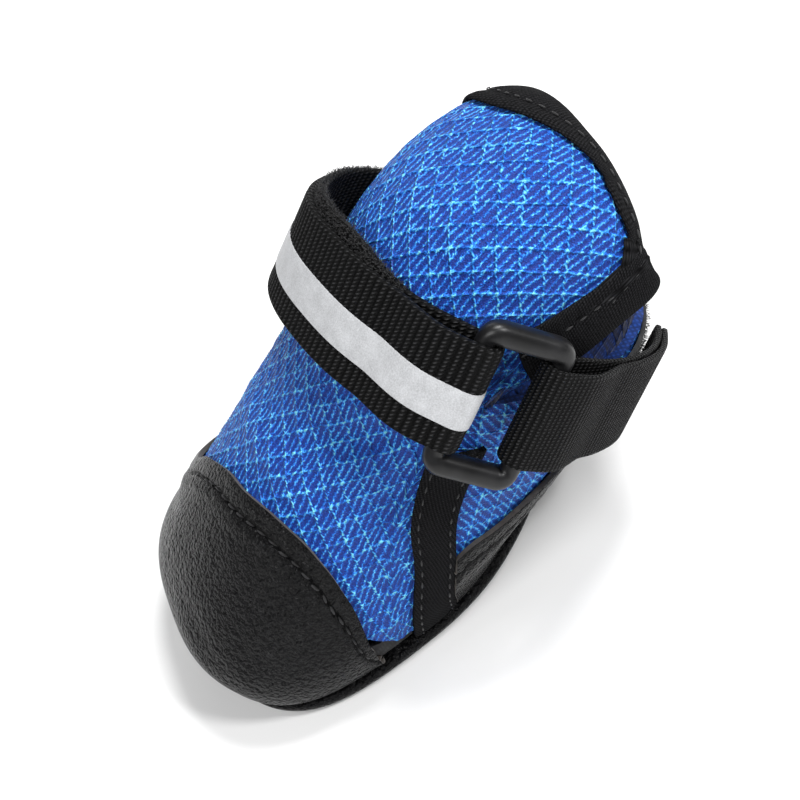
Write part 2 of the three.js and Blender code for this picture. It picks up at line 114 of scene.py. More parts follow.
CAP_EDGE = table(
    ["angle", "level"],
    [
        [-77, 1.7], [-72, 2.2], [-62, 2.8], [-45, 3.4], [-32, 3.95], [-21, 4.5], [-4, 4.93], [13, 5.05],
        [25, 5.05], [35.5, 4.92], [45, 4.68], [54, 4.28], [61, 3.83], [68, 3.25], [73.5, 2.5], [77, 1.7],
    ],
)
COUNTER_EDGE = table(
    ["share", "level"],
    [[0, 4.5], [0.4, 4.35], [0.7, 3.95], [0.85, 3.65], [0.95, 3.55], [1, 3.35]],
)
LOOP_PATCH = {"angle": 58, "low": 4.8, "high": 6.8}
BAND_EDGES = table(
    ["level", "front_x", "rear_x"],
    [
        [0.5, 8, -3], [2, 6, -4], [3.7, 0.5, -8.5], [4.7, -2.5, -12],
        [5.5, -7, -17], [6.2, -12.5, -23], [7, -20, -29],
    ],
)
TOE_SPRING = {"from": 30, "run": 19, "rise": 2.4}
HEEL_SPRING = {"from": -29, "run": -8, "rise": 1.0}
TOE_LEAN = {"from": -5, "run": 50, "shift": 3.5}
SPRING_FADE = 3
ARCH = {"from": -20, "to": -3, "rise": 0.7}
SOLE_EDGE = table(
    ["outset", "height"],
    [[-3.4, 0], [-1.0, 0.4], [0.9, 1.6], [1.7, 3.1], [1.2, 4.3], [-0.3, 4.65]],
)
TREAD_MIDDLE = 12
INSOLE = {"inset": 2.7, "low": 5.0, "high": 6.5}
TAPE_FOLD = table(
    ["inward", "height"],
    [
        [11, GAP], [11, 1.1], [10.2, 1.6], [5, 1.8], [0, 1.8], [-1.6, 1.0], [-2.2, -1], [-1.6, -3],
        [0, -3.6], [8, -3.5], [8, -2.33], [-GAP, -2.33], [-GAP, GAP], [3.5, GAP], [7.3, GAP],
    ],
)
STRAP = {"thickness": 1.6, "layer_gap": 0.35, "anchor": -176, "end": -150}
STRAP_LOOP = {
    "x": -36, "z": 51, "slope": 46.2, "tilt": 9, "ahead": 36, "behind": 34, "side": 31.5, "square": 2.3,
}
STRAP_SLACK = table(
    ["angle", "outset"],
    [
        [-180, -1.2], [-165, -1.7], [-150, -2.6], [-138, -2.4], [-120, -0.9], [-105, 0.2], [-90, 0.6],
        [-60, 3.5], [-30, 3], [0, 0.5], [30, -0.5], [60, 0], [90, 0], [105, -1], [120, -2.3],
        [140, -2.9], [160, -2.2], [180, -1.2],
    ],
)
# How far the strap's upper edge leans in over the instep's right side, as a slope.
STRAP_LEAN = table(
    ["angle", "lean"],
    [[-180, 0], [-150, 0.05], [-120, 0.15], [-100, 0.22], [-75, 0.2], [-50, 0.1], [-25, 0], [0, 0], [180, 0]],
)
TAB = {"thickness": 1.3, "layer_gap": 0.35, "anchor": 152, "end": 151}
RING = {"angle": 66, "bar": 4.0, "run": 15.4, "length": 28.5, "drop": 0.8, "corner": 2.4, "clearance": 0.33}

# Soft troughs (below zero) and swells (above), each at a place on the last. turn is the angle
# of its length from the round direction, long and wide are its half sizes.
CREASES = table(
    ["level", "angle", "turn", "long", "wide", "depth"],
    [
        [5.55, 8, -4, 30, 4.0, 0.9],
        [6.3, 40, 20, 16, 4.0, -1.2],
        [7.9, 12, 0, 26, 3.4, -1.0],
        [7.8, 46, 14, 9, 4.0, -1.3],
        [9.2, 20, 10, 20, 7, 0.9],
        [10.6, -25, -30, 12, 4.5, -0.5],
        [5.3, 62, 60, 10, 3.0, -0.9],
        [4.9, 48, 70, 8, 2.6, 0.4],
        [5.2, -48, -65, 9, 3.2, -0.7],
        [3.1, -30, 35, 8, 2.4, -0.35],
        [2.6, 24, -30, 9, 2.6, -0.35],
        [2.4, 150, 60, 8, 3.0, -0.6],
        [3.0, -152, -60, 8, 3.0, -0.6],
        [5.6, 118, 70, 9, 3.5, -0.6],
        [5.6, -118, -70, 9, 3.5, -0.6],
    ],
)


# ---------------------------------------------------------------- the last's surface
def look_up(rows, key, value, column):
    """A smooth curve through a table's rows."""
    keys, marks = rows[key], rows[column]
    slopes = np.empty_like(marks)
    slopes[1:-1] = (marks[2:] - marks[:-2]) / (keys[2:] - keys[:-2])
    slopes[0] = (marks[1] - marks[0]) / (keys[1] - keys[0])
    slopes[-1] = (marks[-1] - marks[-2]) / (keys[-1] - keys[-2])
    value = np.asarray(value, float)
    i = np.clip(np.searchsorted(keys, value) - 1, 0, len(keys) - 2)
    span = keys[i + 1] - keys[i]
    u = (value - keys[i]) / span
    curve = (
        (2 * u**3 - 3 * u**2 + 1) * marks[i]
        + (u**3 - 2 * u**2 + u) * span * slopes[i]
        + (3 * u**2 - 2 * u**3) * marks[i + 1]
        + (u**3 - u**2) * span * slopes[i + 1]
    )
    return np.where(u > 1, marks[-1] + slopes[-1] * (value - keys[-1]), curve)


def smooth_step(value, low, high):
    u = np.clip((value - low) / (high - low), 0, 1)
    return u * u * (3 - 2 * u)


def spring(x, shape):
    u = (x - shape["from"]) / shape["run"]
    return np.where(u > 0, shape["rise"] * u * u, 0)


def ground_lift(x):
    return spring(x, TOE_SPRING) + spring(x, HEEL_SPRING)


def oval(cosine, sine, power):
    return (np.abs(cosine) ** power + np.abs(sine) ** power) ** (-1 / power)


def surface(level, degrees):
    """Points of the upper's outer face, in millimetres."""
    level, degrees = np.broadcast_arrays(np.asarray(level, float), np.asarray(degrees, float))
    size = {name: look_up(SECTIONS, "level", level, name) for name in SECTIONS if name != "level"}
    cosine, sine = np.cos(np.radians(degrees)), np.sin(np.radians(degrees))
    power = size["square_b"] + (size["square_f"] - size["square_b"]) * (1 + cosine) / 2
    reach = oval(cosine, sine, power)
    ahead, aside = reach * cosine, reach * sine
    x = (size["front_x"] + size["back_x"]) / 2 + (size["front_x"] - size["back_x"]) / 2 * ahead
    z = (size["front_z"] + size["back_z"]) / 2 + (size["front_z"] - size["back_z"]) / 2 * ahead
    lean = TOE_LEAN["shift"] * smooth_step(x, TOE_LEAN["from"], TOE_LEAN["from"] + TOE_LEAN["run"])
    width = 1 + size["egg"] * ahead - size["heel"] * np.maximum(0, -ahead) ** 2
    y = size["shift"] + lean + size["half"] * aside * width
    lift = ground_lift(x) * np.maximum(0, 1 - level / SPRING_FADE)
    return np.stack([x, y, z + lift], -1)


def unit(vectors):
    return vectors / np.linalg.norm(vectors, axis=-1, keepdims=True)


def slopes(level, degrees, step=0.02):
    """How the surface runs up a level and round a degree, and its outward normal."""
    up = (surface(level + step, degrees) - surface(level - step, degrees)) / (2 * step)
    round_ = (surface(level, degrees + step) - surface(level, degrees - step)) / (2 * step)
    return up, round_, unit(np.cross(round_, up))


def crease(points, normals):
    """How far the soft troughs and swells move each point along its normal."""
    moved = np.zeros(points.shape[:-1])
    for k in range(len(CREASES["level"])):
        spot = {name: column[k] for name, column in CREASES.items()}
        centre = surface(spot["level"], spot["angle"])
        up, round_, normal = slopes(spot["level"], spot["angle"])
        round_ = unit(round_)
        up = np.cross(normal, round_)
        turn = math.radians(spot["turn"])
        length = math.cos(turn) * round_ + math.sin(turn) * up
        across = math.cos(turn) * up - math.sin(turn) * round_
        away = points - centre
        near = (away @ length / spot["long"]) ** 2 + (away @ across / spot["wide"]) ** 2
        same_side = np.clip(normals @ normal, 0, 1)
        moved += spot["depth"] * np.exp(-near - (away @ normal / 14) ** 2) * same_side
    return moved


def skin(level, degrees, offset=0.0):
    """Points at a height over the creased surface, with their normals."""
    level = np.maximum(level, LOWEST)
    points = surface(level, degrees)
    normals = slopes(level, degrees)[2]
    return points + normals * (offset + crease(points, normals))[..., None], normals


def from_foot(top, share):
    """Levels from the sole's seam up to a top."""
    return FOOT + (top - FOOT) * share


def angle_at_x(level, x):
    """The angle, on the left side, at which a section passes a given x."""
    level, x = np.broadcast_arrays(np.asarray(level, float), np.asarray(x, float))
    low, high = np.zeros(level.shape), np.full(level.shape, 180.0)
    for _ in range(26):
        middle = (low + high) / 2
        ahead = surface(level, middle)[..., 0] > x
        low, high = np.where(ahead, middle, low), np.where(ahead, high, middle)
    return (low + high) / 2


def band_angle(level, share):
    """Where the side band lies, from its front edge (0) to its rear edge (1)."""
    level = np.clip(level, SEAM_LEVEL, STRAP_LEVEL)
    front = look_up(BAND_EDGES, "level", level, "front_x")
    rear = look_up(BAND_EDGES, "level", level, "rear_x")
    return angle_at_x(level, front + (rear - front) * share)


def flap_end(share):
    u = np.maximum(0, (np.abs(share) - FLAP_CORNER["from"]) / (1 - FLAP_CORNER["from"]))
    slant = FLAP_SLANT["drop"] * smooth_step(-share, FLAP_SLANT["from"], FLAP_SLANT["to"])
    return COLLAR_LEVEL - slant - FLAP_CORNER["drop"] * (1 - np.sqrt(np.maximum(0, 1 - u * u)))


def flap_place(share, height):
    level = STRAP_LEVEL + (flap_end(share) - STRAP_LEVEL) * height
    return level, share * look_up(FLAP_SPREAD, "level", level, "angle")


# ---------------------------------------------------------------- mesh tools
def select_only(piece):
    bpy.ops.object.select_all(action="DESELECT")
    piece.select_set(True)
    bpy.context.view_layer.objects.active = piece


def knots(columns, rows, low=0.0, high=1.0):
    """Even shares across and along a panel."""
    return np.meshgrid(np.linspace(low, high, columns + 1), np.linspace(0, 1, rows + 1))


def read(items, field, width=3):
    """One field of a mesh's vertices or corners, a row for each."""
    values = np.empty(len(items) * width)
    items.foreach_get(field, values)
    return values.reshape(-1, width)


def corner_vertices(mesh):
    """The vertex at each corner of the faces."""
    corners = np.empty(len(mesh.loops), int)
    mesh.loops.foreach_get("vertex_index", corners)
    return corners


def flat_measures(mesh):
    """The flat measures kept in the mesh's own UV, by vertex."""
    flat = np.zeros((len(mesh.vertices), 2))
    flat[corner_vertices(mesh)] = read(mesh.uv_layers[0].data, "uv", 2)
    return flat


def lay_grid(name, points, lengths=None):
    """A grid primitive laid on a sheet of points; lengths are its flat measures in mm."""
    rows, columns = points.shape[0] - 1, points.shape[1] - 1
    bpy.ops.object.select_all(action="DESELECT")
    bpy.ops.mesh.primitive_grid_add(x_subdivisions=columns, y_subdivisions=rows, size=2)
    piece = bpy.context.object
    piece.name = name
    piece.data.name = name
    flat = read(piece.data.vertices, "co")
    column = np.rint((flat[:, 0] + 1) / 2 * columns).astype(int)
    row = np.rint((flat[:, 1] + 1) / 2 * rows).astype(int)
    piece.data.vertices.foreach_set("co", (points[row, column] * MM).ravel())
    if lengths is not None:
        flat_uv = lengths[row, column][corner_vertices(piece.data)]
        piece.data.uv_layers[0].data.foreach_set("uv", flat_uv.ravel())
    piece.data.update()
    return piece


def apply(piece, kind, **settings):
    """Adds a modifier and applies it."""
    select_only(piece)
    bpy.ops.object.modifier_add(type=kind)
    modifier = piece.modifiers[-1]
    for key, value in settings.items():
        setattr(modifier, key, value)
    bpy.ops.object.modifier_apply(modifier=modifier.name)


def thicken(piece, thickness, inner=0, rim=0):
    """Gives a sheet its thickness inwards. inner and rim pick materials."""
    for _ in range(1 + max(inner, rim)):
        piece.data.materials.append(None)
    apply(
        piece, "SOLIDIFY", thickness=thickness * MM, offset=-1, use_even_offset=False,
        use_rim=True, material_offset=inner, material_offset_rim=rim,
    )


def round_rim(piece, width, segments=2):
    apply(
        piece, "BEVEL", width=width * MM, segments=segments, limit_method="ANGLE",
        angle_limit=math.radians(50), harden_normals=False,
    )


def close_up(piece, ends=False):
    """Joins the seam of a rolled grid, fills its ends and turns its faces out."""
    select_only(piece)
    bpy.ops.object.mode_set(mode="EDIT")
    bpy.ops.mesh.select_all(action="SELECT")
    bpy.ops.mesh.remove_doubles(threshold=1e-6)
    if ends:
        bpy.ops.mesh.select_all(action="DESELECT")
        bpy.ops.mesh.select_non_manifold()
        bpy.ops.mesh.fill_holes(sides=0)
        bpy.ops.mesh.select_all(action="SELECT")
    bpy.ops.mesh.normals_make_consistent(inside=False)
    bpy.ops.object.mode_set(mode="OBJECT")


def smooth(piece, degrees=50):
    select_only(piece)
    bpy.ops.object.shade_smooth_by_angle(angle=math.radians(degrees))


def dress(piece, slot, *materials, replaces=()):
    """Puts the finish on a piece and ties it to the boot."""
    slots = piece.data.materials
    while len(slots) < len(materials):
        slots.append(None)
    for index, material in enumerate(materials):
        slots[index] = material
    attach(piece, "root")
    if replaces:
        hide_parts(*replaces)


def lengths_along(points):
    """Distance from the first row, down each column."""
    steps = np.linalg.norm(np.diff(points, axis=0), axis=-1)
    return np.concatenate([np.zeros((1, points.shape[1])), np.cumsum(steps, axis=0)])


def lengths_across(points):
    """Distance from the middle of each row."""
    steps = np.linalg.norm(np.diff(points, axis=1), axis=-1)
    sums = np.concatenate([np.zeros((points.shape[0], 1)), np.cumsum(steps, axis=1)], axis=1)
    return sums - sums[:, [points.shape[1] // 2]]


def flat_pattern(place, columns, rows, grain):
    """A panel unrolled: flat measures in mm on a coarse grid, with the grain turned by so many degrees."""
    u, v = knots(columns, rows, -1, 1)
    level, angle = place(u, v)
    points = surface(np.maximum(level, LOWEST), angle)
    piece = lay_grid("flat_pattern", points)
    select_only(piece)
    bpy.ops.object.mode_set(mode="EDIT")
    bpy.ops.mesh.select_all(action="SELECT")
    bpy.ops.uv.unwrap(method="MINIMUM_STRETCH", margin=0.0)
    bpy.ops.object.mode_set(mode="OBJECT")
    flat = flat_measures(piece.data)
    vertex_at = {tuple(spot): i for i, spot in enumerate(np.round(read(piece.data.vertices, "co"), 7))}
    bpy.data.objects.remove(piece)
    stored = (points * MM).astype(np.float32).astype(float).reshape(-1, 3)
    order = [vertex_at[tuple(spot)] for spot in np.round(stored, 7)]
    flat = flat[order].reshape(rows + 1, columns + 1, 2)
    middle, above_toe = columns // 2, rows // 3
    upright = flat[-1, middle] - flat[above_toe, middle]
    reach = np.linalg.norm(np.diff(points[:, middle], axis=0), axis=-1)[above_toe:].sum()
    turned = np.stack([flat @ [upright[1], -upright[0]], flat @ upright], -1)
    turned *= reach / (upright @ upright)
    if turned[rows // 2, -1, 0] < turned[rows // 2, 0, 0]:
        turned[..., 0] *= -1
    turned -= turned[rows // 2, middle].copy()
    cosine, sine = math.cos(math.radians(grain)), math.sin(math.radians(grain))
    return np.stack([turned @ [cosine, sine], turned @ [-sine, cosine]], -1)


def measures(around, reach):
    """Flat measures of a ribbon: round its section, and along it."""
    return np.stack(np.broadcast_arrays(around[None], reach[:, None]), -1).astype(float)


def refine(coarse, columns, rows):
    """A coarse grid of measures, brought to a finer one."""
    old_rows, old_columns = coarse.shape[0] - 1, coarse.shape[1] - 1
    at = np.linspace(0, old_columns, columns + 1)
    knots_across = np.arange(old_columns + 1)
    wide = np.stack([[np.interp(at, knots_across, line[:, k]) for line in coarse] for k in range(2)], -1)
    at = np.linspace(0, old_rows, rows + 1)
    fine = np.empty((rows + 1, columns + 1, 2))
    for j in range(columns + 1):
        for k in range(2):
            fine[:, j, k] = np.interp(at, np.arange(old_rows + 1), wide[:, j, k])
    return fine


def copies(name, part, places):
    """One mesh out of many copies of a small part, at each 4 by 4 placing."""
    co = read(part.data.vertices, "co")
    count = len(co)
    faces = [tuple(face.vertices) for face in part.data.polygons]
    spots = np.einsum("nij,vj->nvi", places[:, :3, :3], co) + places[:, None, :3, 3]
    all_faces = [tuple(v + k * count for v in face) for k in range(len(places)) for face in faces]
    joined = bpy.data.meshes.new(name)
    joined.from_pydata(spots.reshape(-1, 3).tolist(), [], all_faces)
    joined.update()
    bpy.data.objects.remove(part)
    piece = bpy.data.objects.new(name, joined)
    bpy.context.scene.collection.objects.link(piece)
    return piece


def even_spacing(points, pitch):
    """Places at an even pitch along a line of points, counted in points."""
    steps = np.linalg.norm(np.diff(points, axis=0), axis=-1)
    reach = np.concatenate([[0], np.cumsum(steps)])
    count = max(2, int(reach[-1] / pitch))
    at = (np.arange(count) + 0.5) * reach[-1] / count
    return np.interp(at, reach, np.arange(len(points)))


def along(values, index):
    """Values between the rows of an array."""
    low = np.clip(np.floor(index).astype(int), 0, len(values) - 2)
    share = (index - low)[:, None]
    return values[low] * (1 - share) + values[low + 1] * share


def stitch_row(name, lines, pitch, length, width, rise):
    """Rows of thread stitches. Each line holds points and normals in mm."""
    bpy.ops.object.select_all(action="DESELECT")
    bpy.ops.mesh.primitive_uv_sphere_add(segments=8, ring_count=6, radius=1)
    stitch = bpy.context.object
    placings = []
    for points, normals in lines:
        index = even_spacing(points, pitch)
        centre = along(points, index)
        after = along(points, np.minimum(index + 0.4, len(points) - 1))
        before = along(points, np.maximum(index - 0.4, 0))
        ahead = unit(after - before)
        normal = unit(along(normals, index))
        aside = unit(np.cross(normal, ahead))
        normal = np.cross(ahead, aside)
        placing = np.tile(np.eye(4), (len(index), 1, 1))
        placing[:, :3, 0] = ahead * length / 2 * MM
        placing[:, :3, 1] = aside * width / 2 * MM
        placing[:, :3, 2] = normal * width / 2 * MM
        placing[:, :3, 3] = (centre + normal * rise) * MM
        placings.append(placing)
    piece = copies(name, stitch, np.concatenate(placings))
    select_only(piece)
    bpy.ops.object.shade_smooth()
    return piece


# A brushed loop: how far out and how far over it stands at four places, as shares of its length.
FIBRE_CURL = ((-0.1, 0), (0.45, 0.1), (0.85, 0.45), (0.8, 0.9))


def pile(name, points, normals, rng, length, radius=0.055, lean=0.8):
    """Short curled fibres standing on a surface."""
    count = len(points)
    side = unit(np.cross(normals, rng.normal(size=(count, 3))))
    lengths = length * rng.uniform(0.55, 1.25, count)
    path = []
    for out, over in FIBRE_CURL:
        path.append(points + normals * (out * lengths)[:, None] + side * (over * lean * lengths)[:, None])
    path = np.stack(path, 1)
    other = np.cross(normals, side)
    spots = []
    for k in range(len(FIBRE_CURL)):
        thick = radius * (1 - 0.2 * k)
        for corner in range(3):
            turn = 2 * math.pi * corner / 3
            spots.append(path[:, k] + thick * (math.cos(turn) * side + math.sin(turn) * other))
    spots = np.stack(spots, 1)
    faces = [(2, 1, 0), (9, 10, 11)]
    for k in range(3):
        for corner in range(3):
            after = (corner + 1) % 3
            faces.append((3 * k + corner, 3 * k + after, 3 * k + 3 + after, 3 * k + 3 + corner))
    mesh = bpy.data.meshes.new(name)
    all_faces = [tuple(v + 12 * n for v in face) for n in range(count) for face in faces]
    mesh.from_pydata((spots.reshape(-1, 3) * MM).tolist(), [], all_faces)
    mesh.update()
    piece = bpy.data.objects.new(name, mesh)
    bpy.context.scene.collection.objects.link(piece)
    close_up(piece)
    bpy.ops.object.shade_smooth()
    return piece


# ---------------------------------------------------------------- finishes
class Finish:
    """One material under construction, read from left to right."""

    def __init__(self, name, roughness, specular, sheen=0.0, sheen_tint=None):
        self.material = bpy.data.materials.new(name)
        self.material.use_nodes = True
        self.tree = self.material.node_tree
        self.shader = self.tree.nodes["Principled BSDF"]
        self.set("Roughness", roughness)
        self.set("Specular IOR Level", specular)
        if sheen:
            self.set("Sheen Weight", sheen)
            self.set("Sheen Roughness", 0.5)
        if sheen_tint:
            self.set("Sheen Tint", (*sheen_tint, 1))

    def set(self, socket, value):
        self.shader.inputs[socket].default_value = value

    def feed(self, socket, source):
        self.tree.links.new(source, self.shader.inputs[socket])

    def node(self, kind, output=0, settings=None, **inputs):
        node = self.tree.nodes.new(kind)
        for key, value in (settings or {}).items():
            setattr(node, key, value)
        for key, value in inputs.items():
            socket = node.inputs[int(key[1:]) if key[0] == "_" else key]
            if isinstance(value, bpy.types.NodeSocket):
                self.tree.links.new(value, socket)
            else:
                socket.default_value = value
        return node.outputs[output]

    def math(self, operation, a, b=0.0, c=0.0):
        return self.node("ShaderNodeMath", settings={"operation": operation}, _0=a, _1=b, _2=c)

    def scaled(self, vector, factors):
        return self.node("ShaderNodeVectorMath", settings={"operation": "MULTIPLY"}, _0=vector, _1=factors)

    def places(self, per_mm=1.0):
        """The piece's own coordinates, in millimetres."""
        place = self.node("ShaderNodeTexCoord", output="Object")
        size = per_mm / MM
        return self.scaled(place, (size, size, size))

    def lengths(self):
        """The flat measures across and along the cloth, in millimetres."""
        flat = self.node("ShaderNodeUVMap")
        parts = self.tree.nodes.new("ShaderNodeSeparateXYZ")
        self.tree.links.new(flat, parts.inputs[0])
        return flat, parts.outputs[0], parts.outputs[1]

    def noise(self, vector, scale, detail=2.0, roughness=0.5):
        return self.node(
            "ShaderNodeTexNoise", Vector=vector, Scale=scale, Detail=detail, Roughness=roughness,
        )

    def ramp(self, factor, stops):
        node = self.tree.nodes.new("ShaderNodeValToRGB")
        self.tree.links.new(factor, node.inputs[0])
        stops = [(place, tone if hasattr(tone, "__len__") else (tone,) * 3) for place, tone in stops]
        while len(node.color_ramp.elements) < len(stops):
            node.color_ramp.elements.new(0.5)
        for element, (place, tone) in zip(node.color_ramp.elements, stops):
            element.position = place
            element.color = (*tone, 1)
        return node.outputs[0]

    def wave(self, value, period, phase=0.0):
        """0 to 1 and back over each period; 1 at its multiples."""
        turned = self.math("MULTIPLY_ADD", value, 2 * math.pi / period, phase)
        return self.math("MULTIPLY_ADD", self.math("COSINE", turned), 0.5, 0.5)

    def bump(self, height, depth_mm, strength=1.0):
        normal = self.node(
            "ShaderNodeBump", Height=height, Distance=depth_mm * MM, Strength=strength,
        )
        self.feed("Normal", normal)


RIB = 1.475  # between two wales of the knit
DIAMOND = 2.95  # half a diamond, across and along
COURSE = 0.953  # between two stitches along a wale
WEBBING_RIB = 1.6
WEBBING_BEAD = 0.86


def knitted_mesh(name, base):
    """Spacer mesh: fine wales of small stitches, crossed by bright threads in diamonds, with painted glints
    on the threads and the stitch crests.
    """
    look = Finish(name, 0.5, sheen=0.1, specular=0.28, sheen_tint=(0.3, 0.65, 1.0))
    flat, across, along_ = look.lengths()
    drift = look.math("MULTIPLY_ADD", look.noise(flat, 0.14, 1.0), 1.6, -0.8)
    jitter = look.math("MULTIPLY_ADD", look.noise(flat, 1.3, 2.0), 0.5, -0.25)
    across = look.math("ADD", across, look.math("ADD", drift, jitter))
    along_ = look.math("SUBTRACT", along_, jitter)
    row = look.math("FLOOR", look.math("MULTIPLY", across, 1 / RIB))
    cell = look.tree.nodes.new("ShaderNodeCombineXYZ")
    look.tree.links.new(row, cell.inputs[0])
    look.tree.links.new(look.math("FLOOR", look.math("MULTIPLY", along_, 1 / COURSE)), cell.inputs[1])
    luck = look.node("ShaderNodeTexWhiteNoise", Vector=cell.outputs[0])
    fuzz = look.noise(flat, 3.6, 2.0, 0.6)
    threads = []
    for sign, half_width, dot in ((1, 0.085, 0.74), (-1, 0.10, 0.95)):
        over = look.math("MULTIPLY", across, 0.5 / DIAMOND)
        run = look.math("MULTIPLY_ADD", along_, sign * 0.5 / DIAMOND, over)
        near = look.math("PINGPONG", run, 0.5)
        thread = look.math("MAXIMUM", look.math("MULTIPLY_ADD", near, -1 / half_width, 1.0), 0.0)
        threads.append((thread, look.wave(along_ if sign > 0 else across, dot)))
    patchy = look.math("MULTIPLY_ADD", look.noise(flat, 0.55, 2.0, 0.6), 1.5, -0.1)
    (dotted, dots), (laid, strokes) = threads
    knot = look.math("MULTIPLY", dotted, laid)
    dotted_light = look.math("MULTIPLY", dotted, look.math("MULTIPLY_ADD", dots, 1.15, 0.1))
    laid_light = look.math("MULTIPLY", laid, look.math("MULTIPLY_ADD", strokes, 0.55, 0.4))
    bright = look.math("MULTIPLY_ADD", knot, 0.5, look.math("MAXIMUM", dotted_light, laid_light))
    bright = look.math("MULTIPLY", bright, look.math("MULTIPLY_ADD", luck, 0.9, 0.45))
    bright = look.math("MULTIPLY", bright, patchy)
    stitch = look.wave(look.math("MULTIPLY_ADD", row, 0.48, along_), COURSE)
    rib = look.math("POWER", look.wave(across, RIB), 2.2)
    weave = look.math("MULTIPLY", rib, look.math("MULTIPLY_ADD", stitch, 0.6, 0.4))
    # Painted glints on the rib crests and stitches, and painted shade in the grooves between them, rising and
    # falling with the bump.
    crest_glint = look.math("MULTIPLY", weave, look.math("MULTIPLY_ADD", luck, 0.9, 0.3))
    tone = look.math("MULTIPLY_ADD", crest_glint, 0.72, look.math("MULTIPLY", bright, 0.95))
    tone = look.math("ADD", tone, look.math("MULTIPLY_ADD", fuzz, 1.0, -0.42))
    # The upper stops are the threads' paler blue, topped by a painted glint.
    shades = [
        (0.0, (0.2, 0.11, 0.25)), (0.18, (0.4, 0.34, 0.5)), (0.38, (1.0, 1.3, 1.2)),
        (0.6, (4.0, 3.3, 1.6)), (0.86, (19.0, 6.6, 1.6)),
    ]
    stops = [(at, tuple(min(1.0, c * k) for c, k in zip(base, share))) for at, share in shades]
    look.feed("Base Color", look.ramp(tone, stops))
    raised = look.math("MULTIPLY", look.math("MAXIMUM", dotted, laid), 0.6)
    height = look.math("MULTIPLY_ADD", weave, 0.5, raised)
    height = look.math("MULTIPLY_ADD", fuzz, 0.35, height)
    look.bump(height, 0.7, 1.0)
    return look.material


def pebbled_leather(name, base):
    """Coated leather with fine pebbles and a soft satin shine."""
    look = Finish(name, 0.5, specular=0.11)
    place = look.places()
    bent = look.node(
        "ShaderNodeVectorMath", settings={"operation": "MULTIPLY_ADD"},
        _0=look.node("ShaderNodeTexNoise", output=1, Vector=place, Scale=0.45, Detail=2.0),
        _1=(1.6, 1.6, 1.6), _2=place,
    )
    soft = {"feature": "SMOOTH_F1"}
    pebble = look.node("ShaderNodeTexVoronoi", settings=soft, Vector=bent, Scale=1.05, Smoothness=0.6)
    small = look.node("ShaderNodeTexVoronoi", settings=soft, Vector=bent, Scale=2.3, Smoothness=0.5)
    wrinkle = look.noise(place, 0.5, 4.0, 0.6)
    height = look.math("MULTIPLY_ADD", pebble, -0.75, look.math("MULTIPLY", small, -0.35))
    height = look.math("MULTIPLY_ADD", wrinkle, 0.5, height)
    look.bump(height, 1.1, 1.0)
    patchy = look.noise(place, 0.08, 3.0, 0.6)
    # Tone: random patches, plus painted shade in the grooves between the pebbles, darkening where the pebble
    # field sinks.
    patches_and_groove_shade = look.math("MULTIPLY_ADD", patchy, 0.5, look.math("MULTIPLY", pebble, 0.45))
    dark = tuple(c * 0.08 for c in base)
    lighter_tone = tuple(c * 0.36 for c in base)
    look.feed("Base Color", look.ramp(patches_and_groove_shade, [(0.2, lighter_tone), (0.75, dark)]))
    look.feed("Roughness", look.math("MULTIPLY_ADD", patchy, 0.16, 0.16))
    return look.material


def knit_tape(name, base):
    """Matt knitted binding tape, fine stitches in rows."""
    look = Finish(name, 0.92, specular=0.04)
    flat, across, along_ = look.lengths()
    rows = look.wave(along_, 0.55)
    columns = look.wave(look.math("MULTIPLY_ADD", along_, 0.35, across), 0.6)
    fuzz = look.noise(flat, 2.6, 4.0, 0.7)
    weave = look.math("MULTIPLY", rows, columns)
    height = look.math("MULTIPLY_ADD", fuzz, 0.8, look.math("MULTIPLY", weave, 0.6))
    look.bump(height, 0.18, 0.8)
    tone = look.math("MULTIPLY_ADD", weave, 0.3, look.math("MULTIPLY", fuzz, 0.7))
    dark = tuple(c * 0.2 for c in base)
    pale = tuple(c * 2.4 + 0.010 for c in base)
    look.feed("Base Color", look.ramp(tone, [(0.3, dark), (0.75, pale)]))
    return look.material


def ribbed_webbing(name, base, rib, bead):
    """Woven webbing: ribs across it, each a row of small slanting beads, with painted glints on the bead
    tops.
    """
    look = Finish(name, 0.6, specular=0.1)
    flat, across, along_ = look.lengths()
    shake = look.math("MULTIPLY_ADD", look.noise(flat, 0.9, 2.0), 0.4, -0.2)
    along_ = look.math("ADD", along_, shake)
    row = look.math("FLOOR", look.math("MULTIPLY_ADD", along_, 1 / rib, 0.5))
    ribs = look.wave(along_, rib)
    slanted = look.math("MULTIPLY_ADD", along_, 0.45, look.math("MULTIPLY_ADD", row, 0.37, across))
    beads = look.wave(slanted, bead)
    fuzz = look.noise(flat, 3.0, 3.0, 0.65)
    weave = look.math("MULTIPLY", look.math("POWER", ribs, 0.7), look.math("MULTIPLY_ADD", beads, 0.75, 0.25))
    height = look.math("MULTIPLY_ADD", fuzz, 0.25, weave)
    look.bump(height, 0.5, 1.0)
    # Tone follows the weave's height, darker between the ribs; the pale top stop is painted glints on the
    # bead tops.
    tone = look.math("MULTIPLY_ADD", weave, 0.75, look.math("MULTIPLY_ADD", fuzz, 0.4, -0.1))
    dark = tuple(c * 0.1 for c in base)
    middle = tuple(c * 0.3 for c in base)
    pale = tuple(c * 3.0 + 0.012 for c in base)
    look.feed("Base Color", look.ramp(tone, [(0.1, dark), (0.55, middle), (0.95, pale)]))
    return look.material


def reflective_tape(name, base):
    """Silver grey tape of tiny glass beads."""
    look = Finish(name, 0.5, specular=0.55)
    place = look.places()
    grit = look.noise(place, 3.4, 3.0, 0.75)
    cloudy = look.noise(place, 0.35, 2.0)
    tone = look.math("MULTIPLY_ADD", cloudy, 0.3, look.math("MULTIPLY", grit, 0.85))
    dark = tuple(c * 0.5 for c in base)
    pale = tuple(min(1.0, c * 0.98) for c in base)
    look.feed("Base Color", look.ramp(tone, [(0.3, dark), (0.75, pale)]))
    look.feed("Roughness", look.math("MULTIPLY_ADD", grit, 0.5, 0.25))
    look.bump(grit, 0.05, 0.6)
    return look.material


